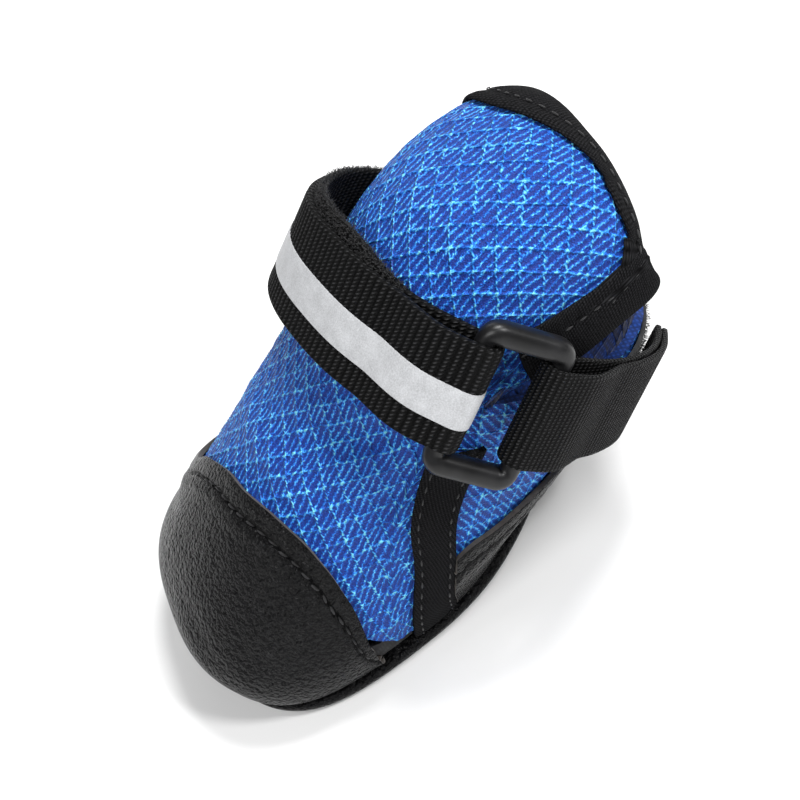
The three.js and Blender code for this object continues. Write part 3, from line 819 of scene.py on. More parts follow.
def moulded_plastic(name, base):
    """Satin moulded plastic with a faint ripple and light wear."""
    look = Finish(name, 0.36, specular=0.36)
    place = look.places()
    fine = look.noise(place, 2.4, 3.0, 0.6)
    broad = look.noise(place, 0.22, 2.0)
    look.bump(look.math("MULTIPLY_ADD", fine, 0.3, broad), 0.09, 0.6)
    dark = tuple(c * 0.2 for c in base)
    lighter_tone = tuple(c * 0.6 + 0.001 for c in base)
    look.feed("Base Color", look.ramp(broad, [(0.35, dark), (0.75, lighter_tone)]))
    look.feed("Roughness", look.math("MULTIPLY_ADD", fine, 0.2, 0.27))
    return look.material


def fibre(name, base, roughness=0.8):
    """Thread and brushed loops, uneven in tone."""
    look = Finish(name, roughness, sheen=0.15, specular=0.3)
    tone = look.noise(look.places(), 0.7, 2.0)
    pale = tuple(c * 1.9 + 0.006 for c in base)
    look.feed("Base Color", look.ramp(tone, [(0.3, base), (0.75, pale)]))
    look.bump(look.noise(look.places(), 3.0, 2.0), 0.08, 0.6)
    return look.material


def plain_weave(name, base, pitch):
    """Thin woven lining."""
    look = Finish(name, 0.9, sheen=0.1, specular=0.2)
    place = look.places()
    parts = look.tree.nodes.new("ShaderNodeSeparateXYZ")
    look.tree.links.new(place, parts.inputs[0])
    weave = look.math("MULTIPLY", look.wave(parts.outputs[0], pitch), look.wave(parts.outputs[1], pitch))
    tone = look.math("MULTIPLY_ADD", look.noise(place, 0.8, 3.0), 0.6, look.math("MULTIPLY", weave, 0.4))
    dark = tuple(c * 0.5 for c in base)
    pale = tuple(c * 1.7 + 0.003 for c in base)
    look.feed("Base Color", look.ramp(tone, [(0.25, dark), (0.8, pale)]))
    look.bump(tone, 0.12, 0.7)
    return look.material


def studio_floor(name, base):
    look = Finish(name, 0.9, specular=0.1)
    tone = look.noise(look.places(0.02), 1.0, 1.0)
    look.feed("Base Color", look.ramp(tone, [(0.2, tuple(c * 0.985 for c in base)), (0.8, base)]))
    return look.material


# ---------------------------------------------------------------- user's sizes and colours
def length_setting(name, description, millimetres):
    return FloatProperty(name=name, description=description, default=millimetres * MM, unit="LENGTH")


def colour_setting(name, description, colour):
    return FloatVectorProperty(name=name, description=description, subtype="COLOR", default=colour)


def slot_colour(slot):
    return tuple(SLOTS[slot]["base_color"])


class BootSizes(bpy.types.PropertyGroup):
    wall: length_setting("Mesh", "Thickness of the spacer mesh", 1.9)
    leather: length_setting("Leather", "Thickness of toe cap and counter", 1.1)
    band: length_setting("Side band", "Thickness of the side bands", 1.2)
    strap_width: length_setting("Strap width", "Width of the webbing", 22.5)
    tab_width: length_setting("Tab width", "Width of the ring's tab", 21.5)
    stripe_width: length_setting("Stripe width", "Width of the reflective tape", 7.7)
    stitch: length_setting("Stitch pitch", "Distance between two stitches", 3.2)


class BootColours(bpy.types.PropertyGroup):
    mesh: colour_setting("Mesh", "Colour of the spacer mesh", slot_colour("mesh"))
    leather: colour_setting("Leather", "Colour of sole and overlays", slot_colour("leather"))
    tape: colour_setting("Tape", "Colour of the knit tape", slot_colour("knit_tape"))
    webbing: colour_setting("Webbing", "Colour of strap and tab", slot_colour("webbing"))
    stripe: colour_setting("Stripe", "Colour of the reflective tape", slot_colour("reflective"))
    ring: colour_setting("Ring", "Colour of the plastic ring", slot_colour("plastic"))
    floor: colour_setting("Floor", "Colour of the floor", (0.92, 0.92, 0.92))


def sizes():
    return bpy.context.scene.boot_sizes


def colours():
    return bpy.context.scene.boot_colours


def finish(kind):
    """Each finish is made once and shared by its pieces."""
    name = "boot_" + kind
    if name in bpy.data.materials:
        return bpy.data.materials[name]
    tint = colours()
    makers = {
        "spacer_mesh": lambda: knitted_mesh(name, tuple(tint.mesh)),
        "mesh_back": lambda: plain_weave(name, (0.006, 0.03, 0.16), 0.9),
        "leather": lambda: pebbled_leather(name, tuple(tint.leather)),
        "leather_cut_edge": lambda: fibre(name, (0.035, 0.030, 0.026)),
        "knit_tape": lambda: knit_tape(name, tuple(tint.tape)),
        "webbing": lambda: ribbed_webbing(name, tuple(tint.webbing), WEBBING_RIB, WEBBING_BEAD),
        "tab_webbing": lambda: ribbed_webbing(name, tuple(tint.webbing), 1.05, 0.7),
        "reflective_tape": lambda: reflective_tape(name, tuple(tint.stripe)),
        "ring_plastic": lambda: moulded_plastic(name, tuple(tint.ring)),
        "loop_pile": lambda: fibre(name, (0.010, 0.010, 0.011)),
        "thread": lambda: fibre(name, (0.009, 0.009, 0.010), 0.55),
        "tape_thread": lambda: fibre(name, (0.014, 0.014, 0.015), 0.6),
        "insole_cloth": lambda: plain_weave(name, slot_colour("lining"), 0.7),
    }
    return makers[kind]()


# ---------------------------------------------------------------- mesh panels
TUCK = 0.8  # how far the mesh runs on under the toe cap, in levels
TOE_SPREAD = 88  # degrees round the last that the toe's panels reach at their foot
SEAM_PRESS = {"width": 0.05, "depth": 0.35}  # the panels' sewn sides, as a share of half a panel and in mm


def front_place(u, v):
    """The front panel: over the instep and up the flap, from one band to the other."""
    widest = CAP_EDGE["angle"][-1]
    base_angle = np.clip(u * TOE_SPREAD, -widest, widest)
    base = look_up(CAP_EDGE, "angle", base_angle, "level") - TUCK
    base = base - 0.5 * smooth_step(np.abs(u) * TOE_SPREAD, widest, TOE_SPREAD)
    level = base + (flap_end(u) - base) * v
    side = band_angle(level, 0.5)
    flap = look_up(FLAP_SPREAD, "level", np.maximum(level, STRAP_LEVEL), "angle")
    blend = smooth_step(level, STRAP_LEVEL - 0.4, STRAP_LEVEL)
    return level, u * (side * (1 - blend) + flap * blend)


def rear_place(u, v):
    """The rear quarter: round the heel from band to band, up to the strap."""
    level = from_foot(STRAP_LEVEL, v)
    return level, 180 + u * (180 - band_angle(level, 0.5))


THREAD = {"height": 0.30, "half_width": 0.09, "sunk": 0.12}  # mm, share of a diamond, mm


def diamond_relief(flat):
    """Height of the mesh's thread pattern, in mm, from its flat measures."""
    across, along_ = flat[..., 0], flat[..., 1]
    near = np.full(across.shape, 0.5)
    for sign in (1, -1):
        run = (across + sign * along_) / 2 / DIAMOND
        near = np.minimum(near, np.abs(run - np.rint(run)))
    return THREAD["height"] * np.exp(-((near / THREAD["half_width"]) ** 2)) - THREAD["sunk"]


def mesh_panel(name, place, columns, rows, grain):
    flat = refine(flat_pattern(place, columns=40, rows=56, grain=grain), columns, rows)
    u, v = knots(columns, rows, -1, 1)
    level, angle = place(u, v)
    points, normals = skin(level, angle)
    pressed = 1 - smooth_step(1 - np.abs(u), 0, SEAM_PRESS["width"])
    rise = diamond_relief(flat) * (1 - pressed) - SEAM_PRESS["depth"] * pressed
    points = points + normals * rise[..., None]
    piece = lay_grid(name, points, flat)
    thicken(piece, sizes().wall / MM, inner=1, rim=1)
    smooth(piece, 60)
    dress(piece, "mesh", finish("spacer_mesh"), finish("mesh_back"), replaces=("upper",))
    return piece


class BOOT_OT_mesh_panels(bpy.types.Operator):
    """Cuts the two mesh panels of the upper and the lining of the toe"""

    bl_idname = "boot.mesh_panels"
    bl_label = "Mesh panels"

    def execute(self, context):
        mesh_panel("front_panel", front_place, columns=186, rows=212, grain=12)
        mesh_panel("rear_quarter", rear_place, columns=200, rows=90, grain=45)
        u, v = knots(60, 26, -1, 1)
        widest = CAP_EDGE["angle"][-1]
        top = look_up(CAP_EDGE, "angle", np.clip(u * TOE_SPREAD, -widest, widest), "level") - 0.35
        points, _ = skin(from_foot(top, v), u * TOE_SPREAD, -0.9)
        lining = lay_grid("toe_lining", points)
        thicken(lining, 0.8)
        smooth(lining)
        dress(lining, "lining", finish("insole_cloth"), replaces=("upper",))
        return {"FINISHED"}


# ---------------------------------------------------------------- leather overlays
HEM = {"width": 5.0, "raise": 0.30, "groove": 0.5, "groove_width": 0.55, "puff": 0.3}


def hemmed_leather(name, level, angle, mounted):
    """A leather overlay whose top edge is turned under and stitched down."""
    bare, normals = skin(level, angle, mounted)
    down = lengths_along(bare)
    from_top = down[-1] - down
    across = lengths_across(bare)
    pucker = np.cos(2 * np.pi * across / (sizes().stitch / MM))
    from_row = (from_top - HEM["width"]) / HEM["groove_width"]
    groove = HEM["groove"] * (1 + 0.3 * pucker) * np.exp(-(from_row**2))
    edge_roll = 0.25 * np.exp(-((from_top / 0.7) ** 2))
    rise = HEM["raise"] * (1 - smooth_step(from_top, HEM["width"] - 0.8, HEM["width"])) - edge_roll
    puff = HEM["puff"] * np.exp(-(((from_top - HEM["width"] - 2.4) / 1.8) ** 2)) * (1 + 0.25 * pucker)
    tuck = -0.9 * (1 - smooth_step(level, FOOT, 0.75))
    points = bare + normals * (rise + puff - groove + tuck)[..., None]
    piece = lay_grid(name + "_leather", points, np.stack([across, down], -1))
    thicken(piece, sizes().leather / MM, rim=1)
    round_rim(piece, 0.3)
    smooth(piece, 60)
    dress(piece, "leather", finish("leather"), finish("leather_cut_edge"), replaces=(name,))
    row = np.argmin(np.abs(from_top - HEM["width"]), axis=0)
    columns = np.arange(points.shape[1])
    return points[row, columns], normals[row, columns]


class BOOT_OT_leather(bpy.types.Operator):
    """Lays the toe cap and the heel counter, with their stitched hems"""

    bl_idname = "boot.leather"
    bl_label = "Toe cap and heel counter"

    def execute(self, context):
        mounted = GAP + sizes().leather / MM
        u, v = knots(180, 130, -1, 1)
        angle = u * CAP_EDGE["angle"][-1]
        top = look_up(CAP_EDGE, "angle", angle, "level")
        cap_row = hemmed_leather("toe_cap", from_foot(top, v), angle, mounted)
        u, v = knots(190, 90, -1, 1)
        level = from_foot(look_up(COUNTER_EDGE, "share", np.abs(u), "level"), v)
        front = band_angle(level, 1.0)
        counter_row = hemmed_leather("heel_counter", level, 180 + (180 - front) * u, mounted)
        stitches = stitch_row(
            "leather_stitches", [cap_row, counter_row],
            pitch=sizes().stitch / MM, length=2.3, width=0.62, rise=0.1,
        )
        dress(stitches, "leather", finish("thread"))
        return {"FINISHED"}


# ---------------------------------------------------------------- sole
def sole_rim(degrees, outset):
    seam = surface(LOWEST, degrees)
    ahead = surface(LOWEST, degrees + 0.5) - surface(LOWEST, degrees - 0.5)
    ahead[..., 2] = 0
    ahead = unit(ahead)
    x = seam[..., 0] + ahead[..., 1] * outset
    return x, seam[..., 1] - ahead[..., 0] * outset


def plate(name, profile, columns):
    """A closed plate: each row of the profile is a share of the outline, an outset and a height."""
    degrees = np.linspace(0, 360, columns + 1)
    points = []
    for share, outset, height in profile:
        x, y = sole_rim(degrees, outset)
        x, y = TREAD_MIDDLE + (x - TREAD_MIDDLE) * share, y * share
        rise = np.zeros(x.shape)
        if height == 0:
            u = (x - ARCH["from"]) / (ARCH["to"] - ARCH["from"])
            rise = np.where((u > 0) & (u < 1), ARCH["rise"] * np.sin(np.pi * u) ** 2, 0)
        points.append(np.stack([x, y, height + rise + ground_lift(x)], -1))
    points = np.array(points)
    piece = lay_grid(name, points, np.stack([lengths_across(points), lengths_along(points)], -1))
    close_up(piece)
    return piece


class BOOT_OT_sole(bpy.types.Operator):
    """Turns the padded sole and lays the insole on it"""

    bl_idname = "boot.sole"
    bl_label = "Sole and insole"

    def execute(self, context):
        steps = np.linspace(0, 5, 36)
        rows = {"step": np.arange(6.0), **SOLE_EDGE}
        outset = look_up(rows, "step", steps, "outset")
        height = np.maximum(look_up(rows, "step", steps, "height"), 0)
        profile = [(share, outset[0], 0) for share in np.linspace(0, 1, 50)[:-1]]
        profile += list(zip(np.ones(36), outset, height))
        profile += [(share, outset[-1], height[-1]) for share in np.linspace(1, 0, 12)[1:]]
        sole = plate("sole_leather", profile, 320)
        smooth(sole, 60)
        dress(sole, "leather", finish("leather"), replaces=("sole",))
        low, high, inset = INSOLE["low"], INSOLE["high"], -INSOLE["inset"]
        profile = [(share, inset, low) for share in np.linspace(0, 1, 6)]
        profile += [(1, inset + 0.25, low + 0.4), (1, inset + 0.25, high - 0.4)]
        profile += [(share, inset, high) for share in np.linspace(1, 0, 16)]
        insole = plate("insole_board", profile, 140)
        smooth(insole, 40)
        dress(insole, "lining", finish("insole_cloth"), replaces=("insole",))
        return {"FINISHED"}


# ---------------------------------------------------------------- tapes
TAPE_STITCH = 3.1
TAPE_SIDES = (0, 0.8, 0.9, 5.2, 5, 1.8, 2.1, 2.1, 1.7, 8, 1.2, 8.3, 2.7, 3.8, 3.8, 3.7)  # round its fold


def collar_path(count):
    """Places along the flap's free edge, from its left foot over the top to its right foot."""
    start = 0.11
    side = np.linspace(start, 1, count, endpoint=False)
    turn = np.sin(np.radians(np.linspace(90, -90, 3 * count)))
    share = np.concatenate([np.ones(count), turn, -np.ones(count)])
    height = np.concatenate([side, np.ones(3 * count), side[::-1]])
    return flap_place(share, height)


def folded_tape(level, angle, section):
    """The tape's section swept along the flap's edge."""
    edge = surface(level, angle)
    ahead = np.empty_like(edge)
    ahead[1:-1] = edge[2:] - edge[:-2]
    ahead[0], ahead[-1] = edge[1] - edge[0], edge[-1] - edge[-2]
    ahead = unit(ahead)
    up, round_, normal = slopes(level, angle)
    inward = -np.cross(ahead, normal)
    uu, ur, rr = ((a * b).sum(-1) for a, b in ((up, up), (up, round_), (round_, round_)))
    iu, ir = (inward * up).sum(-1), (inward * round_).sum(-1)
    det = uu * rr - ur * ur
    level_step, angle_step = (iu * rr - ir * ur) / det, (ir * uu - iu * ur) / det
    rows = []
    for reach, height in zip(section["inward"], section["height"]):
        if reach > 0:
            rows.append(skin(level + level_step * reach, angle + angle_step * reach, height)[0])
        else:
            swell = crease(edge, normal)
            rows.append(edge + inward * reach + normal * (height + swell)[:, None])
    return np.stack(rows, 1), inward, normal


class BOOT_OT_tapes(bpy.types.Operator):
    """Folds the knit tape over the flap's edge and runs the bands down the sides"""

    bl_idname = "boot.tapes"
    bl_label = "Binding and bands"

    def execute(self, context):
        level, angle = collar_path(34)
        ring, _, _ = folded_tape(level, angle, TAPE_FOLD)
        ring = np.concatenate([ring, ring[:, :1]], 1)
        reach = lengths_along(ring[:, 4:5])[:, 0]
        lengths = measures(np.cumsum(TAPE_SIDES), reach)
        tape = lay_grid("collar_tape", ring, lengths)
        close_up(tape, ends=True)
        apply(tape, "SUBSURF", levels=2, render_levels=2)
        self.pucker(tape)
        smooth(tape, 80)
        dress(tape, "knit_tape", finish("knit_tape"), replaces=("collar_binding",))
        rows = {"inward": np.array([7.2]), "height": np.array([1.45])}
        line, _, normal = folded_tape(level, angle, rows)
        lines = [(line[:, 0], normal)]
        for name, side in (("side_band_left", 1), ("side_band_right", -1)):
            lines += self.band(name, side)
        stitches = stitch_row("tape_stitches", lines, TAPE_STITCH, length=1.6, width=0.36, rise=0.06)
        dress(stitches, "knit_tape", finish("tape_thread"))
        return {"FINISHED"}

    @staticmethod
    def pucker(tape):
        """Draws the tape in at its stitch row and lets it wave softly."""
        mesh = tape.data
        around, reach = flat_measures(mesh).T
        outer = smooth_step(around, 0.8, 2.0) * (1 - smooth_step(around, 9, 13))
        sewn = np.exp(-(((around - 4.4) / 0.8) ** 2))
        wave = 0.10 * np.cos(2 * np.pi * reach / TAPE_STITCH) * np.exp(-(((around - 4.4) / 2.6) ** 2))
        broad = 0.16 * np.sin(reach / 4.3 + 1.3 * np.sin(reach / 9.0)) * np.sin(around / 3 + reach / 11)
        lift = outer * (0.05 - 0.34 * sewn + wave) + broad * smooth_step(around, 2, 6)
        moved = read(mesh.vertices, "co") + read(mesh.vertices, "normal") * (lift * MM)[:, None]
        mesh.vertices.foreach_set("co", moved.ravel())
        mesh.update()

    @staticmethod
    def band(name, side):
        u, v = knots(26, 170)
        level = from_foot(BAND_TOP, v)
        share = u if side > 0 else 1 - u
        angle = side * band_angle(level, share)
        bare, normals = skin(level, angle, GAP + 1.15)
        down = lengths_along(bare)
        across = lengths_across(bare)
        half = np.abs(across[:, :1]) * (1 - 1e-9)
        to_edge = np.maximum(half - np.abs(across), 0)
        roll = -0.35 * np.exp(-((to_edge / 0.8) ** 2))
        pucker = np.cos(2 * np.pi * down / TAPE_STITCH)
        sewn = -0.22 * np.exp(-(((to_edge - 1.9) / 0.5) ** 2)) * (1 + 0.4 * pucker)
        tuck = -0.8 * (1 - smooth_step(level, FOOT, 0.6))
        points = bare + normals * (roll + sewn + tuck)[..., None]
        piece = lay_grid(name + "_tape", points, np.stack([across, down], -1))
        thicken(piece, sizes().band / MM)
        round_rim(piece, 0.3)
        smooth(piece, 60)
        dress(piece, "knit_tape", finish("knit_tape"), replaces=(name,))
        return [(points[:, j], normals[:, j]) for j in (4, 22)]


# ---------------------------------------------------------------- strap, tab and ring
def strap_matrix():
    slope, tilt = math.radians(STRAP_LOOP["slope"]), math.radians(STRAP_LOOP["tilt"])
    place = Matrix.Translation((STRAP_LOOP["x"], 0, STRAP_LOOP["z"]))
    return np.array(place @ Matrix.Rotation(-slope, 4, "Y") @ Matrix.Rotation(tilt, 4, "X"))


def to_boot(points):
    """From the strap's sloping plane to the boot."""
    turn = strap_matrix()
    return points @ turn[:3, :3].T + turn[:3, 3]


def loop_point(degrees, outset):
    def at(d):
        cosine, sine = np.cos(np.radians(d)), np.sin(np.radians(d))
        reach = oval(cosine, sine, STRAP_LOOP["square"])
        run = np.where(cosine > 0, STRAP_LOOP["ahead"], STRAP_LOOP["behind"])
        return np.stack([run * reach * cosine, STRAP_LOOP["side"] * reach * sine], -1)

    degrees = np.asarray(degrees, float)
    ahead = unit(at(degrees + 0.5) - at(degrees - 0.5))
    out = np.stack([ahead[..., 1], -ahead[..., 0]], -1)
    slack = look_up(STRAP_SLACK, "angle", degrees, "outset")
    return at(degrees) + out * np.asarray(outset + slack)[..., None], ahead, out


BAR_REACH = 17  # degrees from the ring's middle to where a ribbon leaves its bar
SETTLE = 22  # degrees over which the upper layer comes down on the lower one
PRESSED = {"from": 4, "to": 18, "gap": 0.04}  # the upper layer's end, in degrees before it stops
LOWER_LAYER = {"shift": 2.3, "appears": (14, 34), "fades": (78, 96)}  # where it shows past the upper one
RING_LIFT = GAP + STRAP["thickness"] + RING["clearance"] + RING["bar"] / 2


def ribbon_middle(side, size):
    """The middle line of a ribbon that goes in under a bar of the ring, round it and back."""
    centre, ahead, out = loop_point(RING["angle"], RING_LIFT)
    bar = centre + ahead * side * RING["run"] / 2
    ahead, out = loop_point(RING["angle"], 0)[1:]
    turn = RING["bar"] / 2 + RING["clearance"] + size["thickness"] / 2
    low = GAP + size["thickness"] / 2
    high = low + size["thickness"] + size["layer_gap"]
    start = RING["angle"] + side * BAR_REACH
    count = max(4, int(abs(start - size["anchor"]) / 1.5))
    inner = loop_point(np.linspace(size["anchor"], start, count), low)[0]
    turned = np.radians(np.arange(-70, 91, 8))
    over = bar - side * np.cos(turned)[:, None] * turn * ahead + np.sin(turned)[:, None] * turn * out
    count = max(4, int(abs(start - size["end"]) / 1.5))
    angles = np.linspace(start, size["end"], count)
    fall = smooth_step(np.abs(angles - start), 0, SETTLE)
    crest = RING_LIFT + turn
    pressed = 1 - smooth_step(np.abs(angles - size["end"]), PRESSED["from"], PRESSED["to"])
    height = crest + (high - crest) * fall - (size["layer_gap"] - PRESSED["gap"]) * pressed
    outer = loop_point(angles, height)[0]
    line = np.concatenate([inner, over, outer])
    marks = np.concatenate([np.zeros(len(inner)), np.linspace(0, 1, len(over)), np.ones(len(outer))])
    return line, marks


def resample(line, marks, pitch):
    """Even steps along a line, softened at its corners."""
    steps = np.linalg.norm(np.diff(line, axis=0), axis=-1)
    reach = np.concatenate([[0], np.cumsum(steps)])
    at = np.linspace(0, reach[-1], int(reach[-1] / pitch))
    even = np.stack([np.interp(at, reach, line[:, k]) for k in range(2)], -1)
    for _ in range(int(3 / pitch)):
        even[1:-1] = (even[:-2] + 2 * even[1:-1] + even[2:]) / 4
    return even, np.interp(at, reach, marks), at


def leaned(plane, side):
    """Points of the strap's plane, moved in or out as the ribbon leans at their place."""
    run = np.where(plane[..., 0] < 0, STRAP_LOOP["behind"], STRAP_LOOP["ahead"])
    degrees = np.degrees(np.arctan2(plane[..., 1] / STRAP_LOOP["side"], plane[..., 0] / run))
    out = loop_point(degrees, 0)[2]
    return plane - out * (look_up(STRAP_LEAN, "angle", degrees, "lean") * side)[..., None]


def ribbon(line, at, section_of, drift=0.0):
    """Sweeps a section (side, height) along a line in the strap's plane."""
    ahead = np.empty_like(line)
    ahead[1:-1] = line[2:] - line[:-2]
    ahead[0], ahead[-1] = line[1] - line[0], line[-1] - line[-2]
    ahead = unit(ahead)
    normal = np.stack([-ahead[:, 1], ahead[:, 0]], -1)
    side, height = section_of(at)
    side = side + np.asarray(drift).reshape(-1, 1)
    flat = leaned(line[:, None] + normal[:, None] * height[..., None], side)
    return to_boot(np.concatenate([flat, side[..., None]], -1))


def webbing_section(width, thickness, rib, steps=28, relief=0.13):
    """Closed section of a ribbed ribbon, and its measure round the ribbon."""
    half = width / 2
    lane = np.linspace(-half + 0.35, half - 0.35, steps)
    rim = np.array([[half - 0.08, 0.72], [half, 0.25], [half, -0.25], [half - 0.08, -0.72]])
    face = np.stack([lane, np.ones(steps)], -1)
    loop = np.concatenate([face, rim, face[::-1] * [1, -1], -rim, face[:1]])
    steps_round = np.linalg.norm(np.diff(loop * [1, thickness / 2], axis=0), axis=-1)
    measure = np.concatenate([[0], np.cumsum(steps_round)])

    def section_of(at):
        body = np.clip((half - np.abs(loop[:, 0]) - 0.5) / 0.6, 0, 1)
        ripple = relief * np.cos(2 * np.pi * at / rib)[:, None] * body[None]
        grow = loop[None, :, 1] * (thickness / 2 + ripple)
        side = np.broadcast_to(loop[None, :, 0], grow.shape)
        return side, grow

    return section_of, measure


STRIPE_MIDDLE = -1.8  # across the strap from its middle line
TAB_ROWS = (149.4, 143)  # where the tab is sewn down, in degrees round the strap's loop


class BOOT_OT_strap(bpy.types.Operator):
    """Threads the strap and its reflective tape through the ring, and sews on the ring's tab"""

    bl_idname = "boot.strap"
    bl_label = "Strap and tab"

    def execute(self, context):
        line, marks = ribbon_middle(-1, STRAP)
        line, marks, at = resample(line, marks, 0.4)
        width = sizes().strap_width / MM
        fold = at[np.argmax(marks > 0)]
        away = fold - at
        under = np.where(at < fold, 1.0, 0.0)
        appears, fades = LOWER_LAYER["appears"], LOWER_LAYER["fades"]
        shown = under * smooth_step(away, *appears) * (1 - smooth_step(away, *fades))
        drift = LOWER_LAYER["shift"] * shown
        section_of, measure = webbing_section(width, STRAP["thickness"], WEBBING_RIB)
        points = ribbon(line, at, section_of, drift)
        strap = lay_grid("wrap_strap", points, measures(measure, at))
        close_up(strap, ends=True)
        smooth(strap, 70)
        dress(strap, "webbing", finish("webbing"), replaces=("strap",))
        self.stripe(line, marks, at)
        self.fuzz(line, drift, width)
        line, marks = ribbon_middle(1, TAB)
        line, marks, at = resample(line, marks, 0.35)
        section_of, measure = webbing_section(sizes().tab_width / MM, TAB["thickness"], 1.05, relief=0.07)
        points = ribbon(line, at, section_of)
        tab = lay_grid("ring_tab_webbing", points, measures(measure, at))
        close_up(tab, ends=True)
        smooth(tab, 70)
        dress(tab, "webbing", finish("tab_webbing"), replaces=("ring_tab",))
        self.tab_stitches()
        return {"FINISHED"}

    @staticmethod
    def tab_stitches():
        """Two rows of thread across the tab's end hold it to the rear quarter."""
        half = sizes().tab_width / MM / 2 - 1.3
        side = np.linspace(-half, half, 60)
        rise = GAP + 2 * TAB["thickness"] + 0.04
        lines = []
        for degrees in TAB_ROWS:
            spot, _, out = loop_point(np.full(60, degrees), rise)
            normals = np.concatenate([out, np.zeros((60, 1))], -1) @ strap_matrix()[:3, :3].T
            lines.append((to_boot(np.concatenate([spot, side[:, None]], -1)), normals))
        stitches = stitch_row("tab_stitches", lines, pitch=2.6, length=2.0, width=0.5, rise=0.08)
        dress(stitches, "webbing", finish("thread"))

    @staticmethod
    def stripe(line, marks, at):
        """The tape runs from the fold round the bar to the strap's end."""
        keep = marks > 0.35
        half = sizes().stripe_width / MM / 2
        low, high = STRAP["thickness"] / 2 + 0.02, STRAP["thickness"] / 2 + 0.30
        side = np.concatenate([[-half], np.linspace(-half, half, 9), [half], [-half]]) + STRIPE_MIDDLE
        rise = np.concatenate([[low], [high - 0.06], np.full(7, high), [high - 0.06], [low], [low]])

        def section_of(reach):
            shape = (len(reach), len(side))
            return np.broadcast_to(side, shape), np.broadcast_to(rise, shape)

        points = ribbon(line[keep], at[keep], section_of)
        measure = np.linspace(0, 2 * half, len(side))
        tape = lay_grid("reflective_stripe", points, measures(measure, at[keep]))
        close_up(tape, ends=True)
        smooth(tape, 40)
        dress(tape, "reflective", finish("reflective_tape"))

    @staticmethod
    def fuzz(line, drift, width):
        """Loops on the lower layer, where it shows past the upper one."""
        rng = np.random.default_rng(11)
        rows = np.flatnonzero(drift > 0.15)
        count = 2600
        row = rng.choice(rows, count)
        ahead = unit(line[np.minimum(row + 1, len(line) - 1)] - line[row - 1])
        out = np.stack([ahead[:, 1], -ahead[:, 0]], -1)
        edge = width / 2 + drift[row]
        side = edge - rng.uniform(0, 3.2, count)
        height = rng.uniform(0.5, 0.85, count)
        on_rim = rng.uniform(size=count) < 0.35
        side = np.where(on_rim, edge - 0.05, side)
        height = np.where(on_rim, rng.uniform(-0.7, 0.7, count), height)
        spot = leaned(line[row] + out * height[:, None], side)
        roots = to_boot(np.concatenate([spot, side[:, None]], -1))
        outward, sideways = np.where(on_rim, 0.25, 1.0), np.where(on_rim, 1.0, 0.3)
        away = np.concatenate([out * outward[:, None], sideways[:, None]], -1)
        away = unit(away) @ strap_matrix()[:3, :3].T
        piece = pile("strap_fuzz", roots, away, rng, 0.75)
        dress(piece, "webbing", finish("loop_pile"))


TORUS = 10  # the round the ring is bent from


class BOOT_OT_ring(bpy.types.Operator):
    """Moulds the ring, a rounded rectangle with thicker end bars"""

    bl_idname = "boot.ring"
    bl_label = "Ring"

    def execute(self, context):
        centre, ahead, out = loop_point(RING["angle"], RING_LIFT)
        bpy.ops.object.select_all(action="DESELECT")
        bpy.ops.mesh.primitive_torus_add(
            major_segments=160, minor_segments=28, major_radius=TORUS * MM, minor_radius=2 * MM,
        )
        piece = bpy.context.object
        piece.name = "moulded_ring"
        co = read(piece.data.vertices, "co") / MM
        around = np.arctan2(co[:, 1], co[:, 0])
        reach = np.hypot(co[:, 0], co[:, 1]) - TORUS
        turn = np.arctan2(co[:, 2], reach)
        half_x, half_y, corner = RING["run"] / 2, RING["length"] / 2, RING["corner"]
        quarter = np.pi / 2
        turned = np.mod(around, 2 * np.pi)
        side = np.floor(turned / quarter)
        share = turned / quarter - side
        sign_x = np.array([1, -1, -1, 1])[side.astype(int)]
        sign_y = np.array([1, 1, -1, -1])[side.astype(int)]
        rising = np.where(sign_x * sign_y > 0, share, 1 - share)
        long_y, arc, long_x = half_y - corner, corner * quarter, half_x - corner
        total = long_y + arc + long_x
        run = rising * total
        bend = np.clip((run - long_y) / arc, 0, 1) * quarter
        x = half_x - corner + corner * np.cos(bend) - np.maximum(run - long_y - arc, 0)
        y = np.minimum(run, long_y) + corner * np.sin(bend)
        nx, ny = np.cos(bend), np.sin(bend)
        bar = RING["bar"] / 2 * (0.94 + 0.24 * smooth_step(np.sin(bend), 0, 1))
        squarish = oval(np.cos(turn), np.sin(turn), 2.5)
        flat = bar * squarish * np.cos(turn)
        lift = bar * squarish * np.sin(turn)
        x, y = sign_x * (x + nx * flat), sign_y * (y + ny * flat)
        plane = centre + ahead * x[:, None] + out * lift[:, None]
        points = to_boot(np.concatenate([plane, (y - RING["drop"])[:, None]], -1))
        piece.data.vertices.foreach_set("co", (points * MM).ravel())
        piece.data.update()
        close_up(piece)
        smooth(piece, 80)
        dress(piece, "plastic", finish("ring_plastic"), replaces=("ring",))
        return {"FINISHED"}


class BOOT_OT_loop_patch(bpy.types.Operator):
    """Sews the fuzzy loop tape on the back of the rear quarter"""

    bl_idname = "boot.loop_patch"
    bl_label = "Loop patch"

    def execute(self, context):
        u, v = knots(90, 30, -1, 1)
        level = LOOP_PATCH["low"] + (LOOP_PATCH["high"] - LOOP_PATCH["low"]) * v
        points, normals = skin(level, 180 + u * LOOP_PATCH["angle"], GAP + 0.9)
        piece = lay_grid("loop_tape", points, np.stack([lengths_across(points), lengths_along(points)], -1))
        thicken(piece, 0.85)
        round_rim(piece, 0.25)
        smooth(piece, 60)
        dress(piece, "loop_tape", finish("loop_pile"), replaces=("loop_patch",))
        rng = np.random.default_rng(5)
        count = 5200
        row = rng.integers(1, 30, count)
        column = rng.integers(1, 90, count)
        roots = points[row, column] + rng.normal(0, 0.28, (count, 3))
        fuzz = pile("loop_tape_fuzz", roots, normals[row, column], rng, 0.6)
        dress(fuzz, "loop_tape", finish("loop_pile"))
        return {"FINISHED"}


